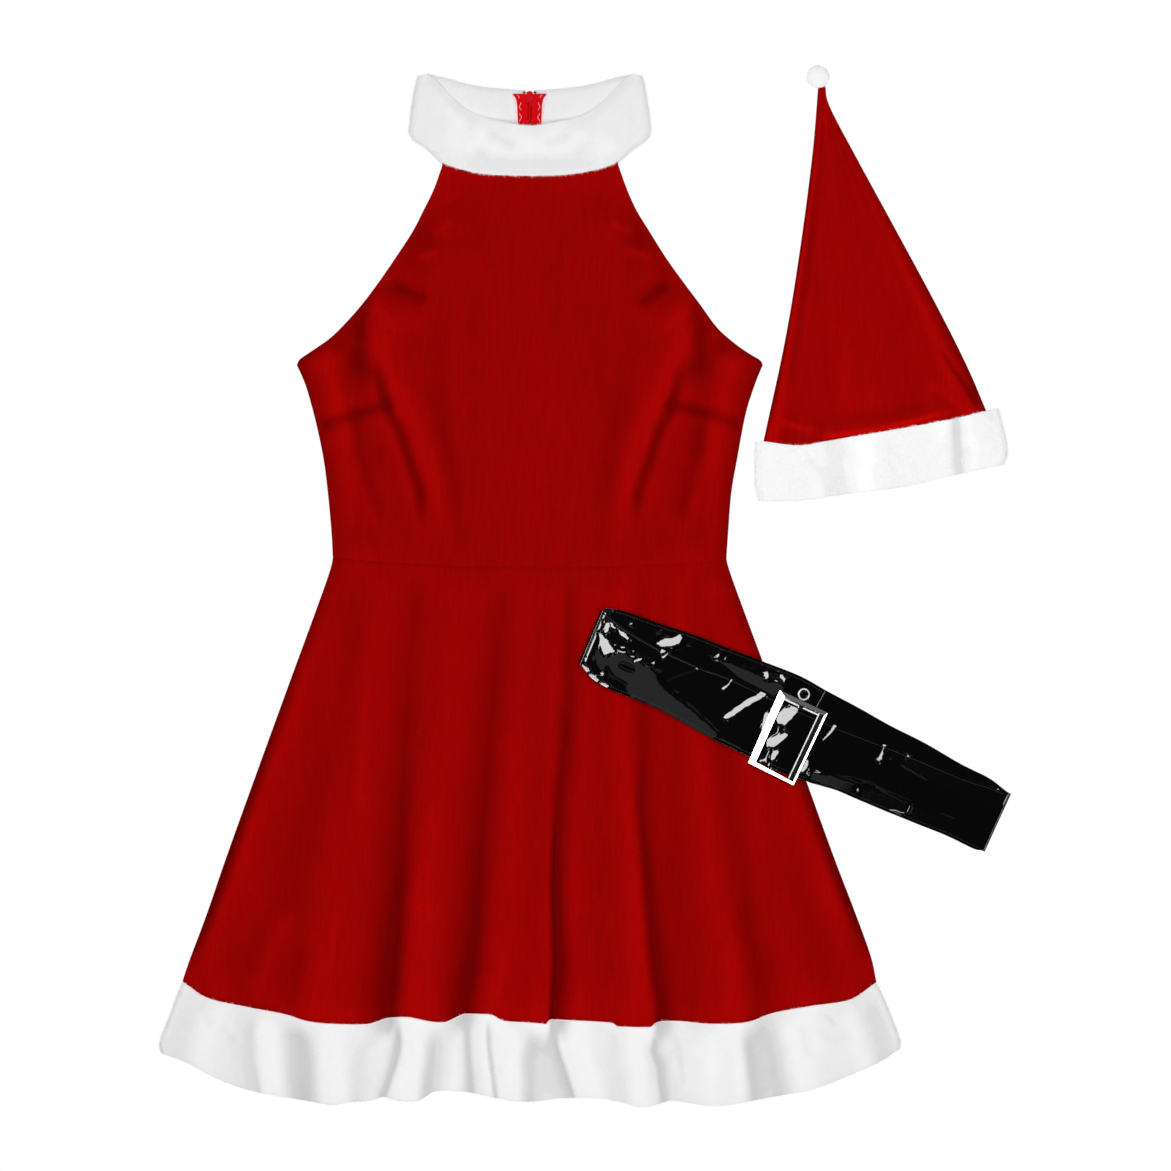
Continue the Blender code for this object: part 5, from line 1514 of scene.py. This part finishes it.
def build_buckle():
    """Frame with a ridge between two slopes and a low lip all round, and a bar under the strap."""
    middle = np.mean(BUCKLE_OUTER, axis=0)
    outer = (np.array(BUCKLE_OUTER) - middle) * (1, -1) * GRID
    window = (np.array(BUCKLE_WINDOW) - middle) * (1, -1) * GRID
    ridge = ridge_corners(outer, window, RIDGE_SHARES)
    lip = ridge_corners(outer, window, LIP_SHARES)
    rim = BUCKLE_RIM + RIM_RISE
    section = (
        (outer, 0.0), (outer, rim), (ridge, BUCKLE_RIDGE),
        (lip, BUCKLE_LIP), (window, BUCKLE_LIP), (window, 0.0),
    )
    rings = [np.column_stack([corners, np.broadcast_to(height, 4) * MM]) for corners, height in section]
    mesh = grid_mesh("buckle_frame_chrome", np.array(rings), ring_down=True, ring_across=True)
    # The lips of the top and right bars take the pale metal: painted highlight
    for k in LIP_HIGHLIGHT_FACES:
        mesh.polygons[k].material_index = 1
    lies = float(belt_lie(middle[0])) + BUCKLE_BASE
    mesh = tilted(mesh, *middle, lies)
    buckle = add("buckle_frame_chrome", mesh, "chrome satin", "buckle_frame")
    round_edges(buckle, 3, harden_normals=True, limit_method="ANGLE", angle_limit=math.radians(12))
    along = (outer[1] - outer[0]) / np.linalg.norm(outer[1] - outer[0])
    half = along * BUCKLE_BAR["width"] / 2 * MM
    top = (outer[0] + outer[1] + window[0] + window[1]) / 4
    low = (outer[2] + outer[3] + window[2] + window[3]) / 4
    corners = np.array([top - half, top + half, low + half, low - half])
    levels = [BUCKLE_BAR["low"] * MM, BUCKLE_BAR["high"] * MM]
    spots = np.vstack([np.column_stack([corners, np.full(4, z)]) for z in levels])
    faces = [(0, 1, 5, 4), (1, 2, 6, 5), (2, 3, 7, 6), (3, 0, 4, 7), (3, 2, 1, 0), (4, 5, 6, 7)]
    mesh = make_mesh("buckle_bar_chrome", spots, np.array(faces))
    round_edges(add("buckle_bar_chrome", tilted(mesh, *middle, lies), "chrome"), 2)


def build_press_stud():
    """Press stud's cap: a rolled rim round a low dome with a dimple."""
    radius, high = PRESS_STUD["radius"], PRESS_STUD["height"]
    profile = [
        (0.0, 0.62), (0.2, 0.6), (0.36, 0.5), (0.46, 0.4), (0.52, 0.45), (0.58, 0.7), (0.66, 0.92),
        (0.75, 1.0), (0.84, 0.96), (0.92, 0.8), (0.97, 0.6), (1.0, 0.35), (1.0, 0.0),
    ]
    points = [(radius * reach * MM, 0, high * up * MM) for reach, up in profile]
    mesh = bpy.data.meshes.new("press_stud_chrome")
    mesh.from_pydata(points, [(k, k + 1) for k in range(len(points) - 1)], [])
    stud = new_object("press_stud_lathe", mesh)
    turn = stud.modifiers.new("turned", "SCREW")
    turn.steps = 64
    turn.render_steps = 64
    turn.use_merge_vertices = True
    turn.merge_threshold = 0.00001
    turn.use_smooth_shade = True
    made = bpy.data.meshes.new_from_object(stud.evaluated_get(bpy.context.evaluated_depsgraph_get()))
    bpy.data.objects.remove(stud)
    made.name = "press_stud_chrome"
    made.materials.clear()
    # Inside a share of the radius the dome takes black patent, painted shade of the socket's hollow; the rim
    # takes the pale metal of painted highlight
    for face in made.polygons:
        face.material_index = int(face.center.xy.length < STUD_SHADE_PART * radius * MM)
    lies = float(belt_lie(PRESS_STUD["column"])) + STRAP + BELT_LAP["lift"] + SEAM_GAP
    made = tilted(made, PRESS_STUD["column"], PRESS_STUD["row"], lies)
    add("press_stud_chrome", made, "satin patent", "press_stud")


def dress_metal():
    """Zip slider and pull keep their own shapes."""
    for name in ("zip_slider", "zip_pull"):
        item = bpy.data.objects[name]
        item.data.materials.clear()
        item.data.materials.append(LOOKS["zip_metal"][0])


# Stage, lights and camera
def light_path_world():
    """White behind the object for the camera, dim grey for the light it casts."""
    world = bpy.data.worlds.new("studio")
    bpy.context.scene.world = world
    world.use_nodes = True
    tree = world.node_tree
    tree.nodes.clear()
    kinds = ("OutputWorld", "MixShader", "LightPath", "Background", "MapRange", "Background")
    out, mixed, path, dim, level, pale = [tree.nodes.new(f"ShaderNode{kind}") for kind in kinds]
    level.inputs["To Min"].default_value = 0.14
    level.inputs["To Max"].default_value = 0.015
    for grey in (dim, pale):
        grey.inputs["Color"].default_value = (1, 1, 1, 1)
    pale.inputs["Strength"].default_value = 1.0
    for source, output, target, socket in (
        (path, "Is Glossy Ray", level, "Value"), (level, "Result", dim, "Strength"),
        (path, "Is Camera Ray", mixed, "Fac"), (dim, "Background", mixed, 1),
        (pale, "Background", mixed, 2), (mixed, "Shader", out, "Surface"),
    ):
        tree.links.new(source.outputs[output], target.inputs[socket])


def build_floor():
    mesh = bpy.data.meshes.new("floor")
    corners = [(x, y, -0.0004) for x, y in ((-8, -8), (8, -8), (8, 8), (-8, 8))]
    mesh.from_pydata(corners, [], [(0, 1, 2, 3)])
    glow = {"Specular_IOR_Level": 0.0, "Emission_Color": (1, 1, 1, 1), "Emission_Strength": 1.0}
    mesh.materials.append(plain_material("pale_floor", (0.0, 0.0, 0.0), 1.0, **glow))
    floor = new_object("floor", mesh)
    floor.visible_diffuse = False
    floor.visible_glossy = False
    floor.visible_shadow = False


def aim(direction):
    """Rotation that points a lamp's own -Z along a direction."""
    x, y, z = direction / np.linalg.norm(direction)
    tilt = math.acos(max(-1.0, min(1.0, -z)))
    turn = math.atan2(y, x) + math.pi / 2
    return (tilt, 0.0, turn + math.pi) if tilt > 1e-6 else (0.0, 0.0, 0.0)


def build_lights():
    """Rectangular lights aimed at the costume, each for its cloth or for its glossy pieces."""
    for name, size, spot, power, glossy in LIGHTS:
        data = bpy.data.lights.new(name, "AREA")
        data.shape = "RECTANGLE"
        data.size, data.size_y = size
        data.energy = power
        lamp = new_object(name, data)
        lamp.location = spot
        lamp.rotation_euler = aim(-np.array(spot, float))
        lamp.visible_glossy = glossy
        lamp.visible_diffuse = not glossy
        lamp.visible_camera = False


def build_camera():
    data = bpy.data.cameras.new("camera")
    data.lens = 200.0
    data.sensor_width = 36.0
    data.clip_end = 50.0
    camera = new_object("camera", data)
    camera.location = (0.0, 0.0, 6.19)
    bpy.context.scene.camera = camera


WEAVE = {"grain": (1400, 2, 0.85, 1.12), "bump": (2400, 0.0003, 0.6), "Specular_IOR_Level": 0.03}
GLOSS = {"bump": (220, 0.0003, 0.25), "Coat_Weight": 1.0, "Coat_Roughness": 0.03, "Specular_IOR_Level": 0.5}
COATED = {"grain": (600, 3, 0.9, 1.1), "Specular_IOR_Level": 0.05}
LOOKS = {
    "velvet": [velvet_material((0.309, 0.0012, 0.0010))],
    "dress_fur": [fur_material("white_dress_fur", 0.862, 0.62)],
    "hat_fur": [fur_material("white_hat_fur", 0.956, 0.48)],
    "dress_strands": strand_materials("white_dress_strands", (0.61, 0.705, 0.785, 0.84, 0.866)),
    "hat_strands": strand_materials("white_hat_strands", (0.58, 0.73, 0.86, 0.94, 0.985)),
    "tape": [plain_material("red_zip_tape", (0.62, 0.003, 0.007), 0.85, **WEAVE)],
    "coil": [plain_material("red_zip_coil", (0.42, 0.0015, 0.003), 0.85, **WEAVE)],
    "zip_metal": [plain_material("red_coated_metal", (0.56, 0.005, 0.011), 0.6, **COATED)],
    "patent": [plain_material("black_patent", (0.0013, 0.0013, 0.0015), 0.1, **GLOSS)],
    "thread": [plain_material("black_thread", (0.05, 0.05, 0.053), 0.6, bump=(2600, 0.0002, 0.6))],
    "chrome": [chrome_material()],
    # Pale diffuse metal that the key lamp lights, which the chrome can't reflect: painted highlight on the
    # buckle's lip and the press stud's rim
    "satin": [plain_material("chrome_painted_highlight", (0.9, 0.9, 0.91), 0.4, 0.35)],
    "pale_thread": [plain_material("pale_pink_thread", (0.98, 0.72, 0.75), 0.8)],
}
build_camera()
build_lights()
build_floor()
light_path_world()
bpy.context.scene.view_settings.view_transform = "Standard"
build_bodice()
build_skirt()
build_hem()
build_collar()
build_zip()
build_hat()
build_pompom()
build_belt()
build_buckle()
build_press_stud()
dress_metal()
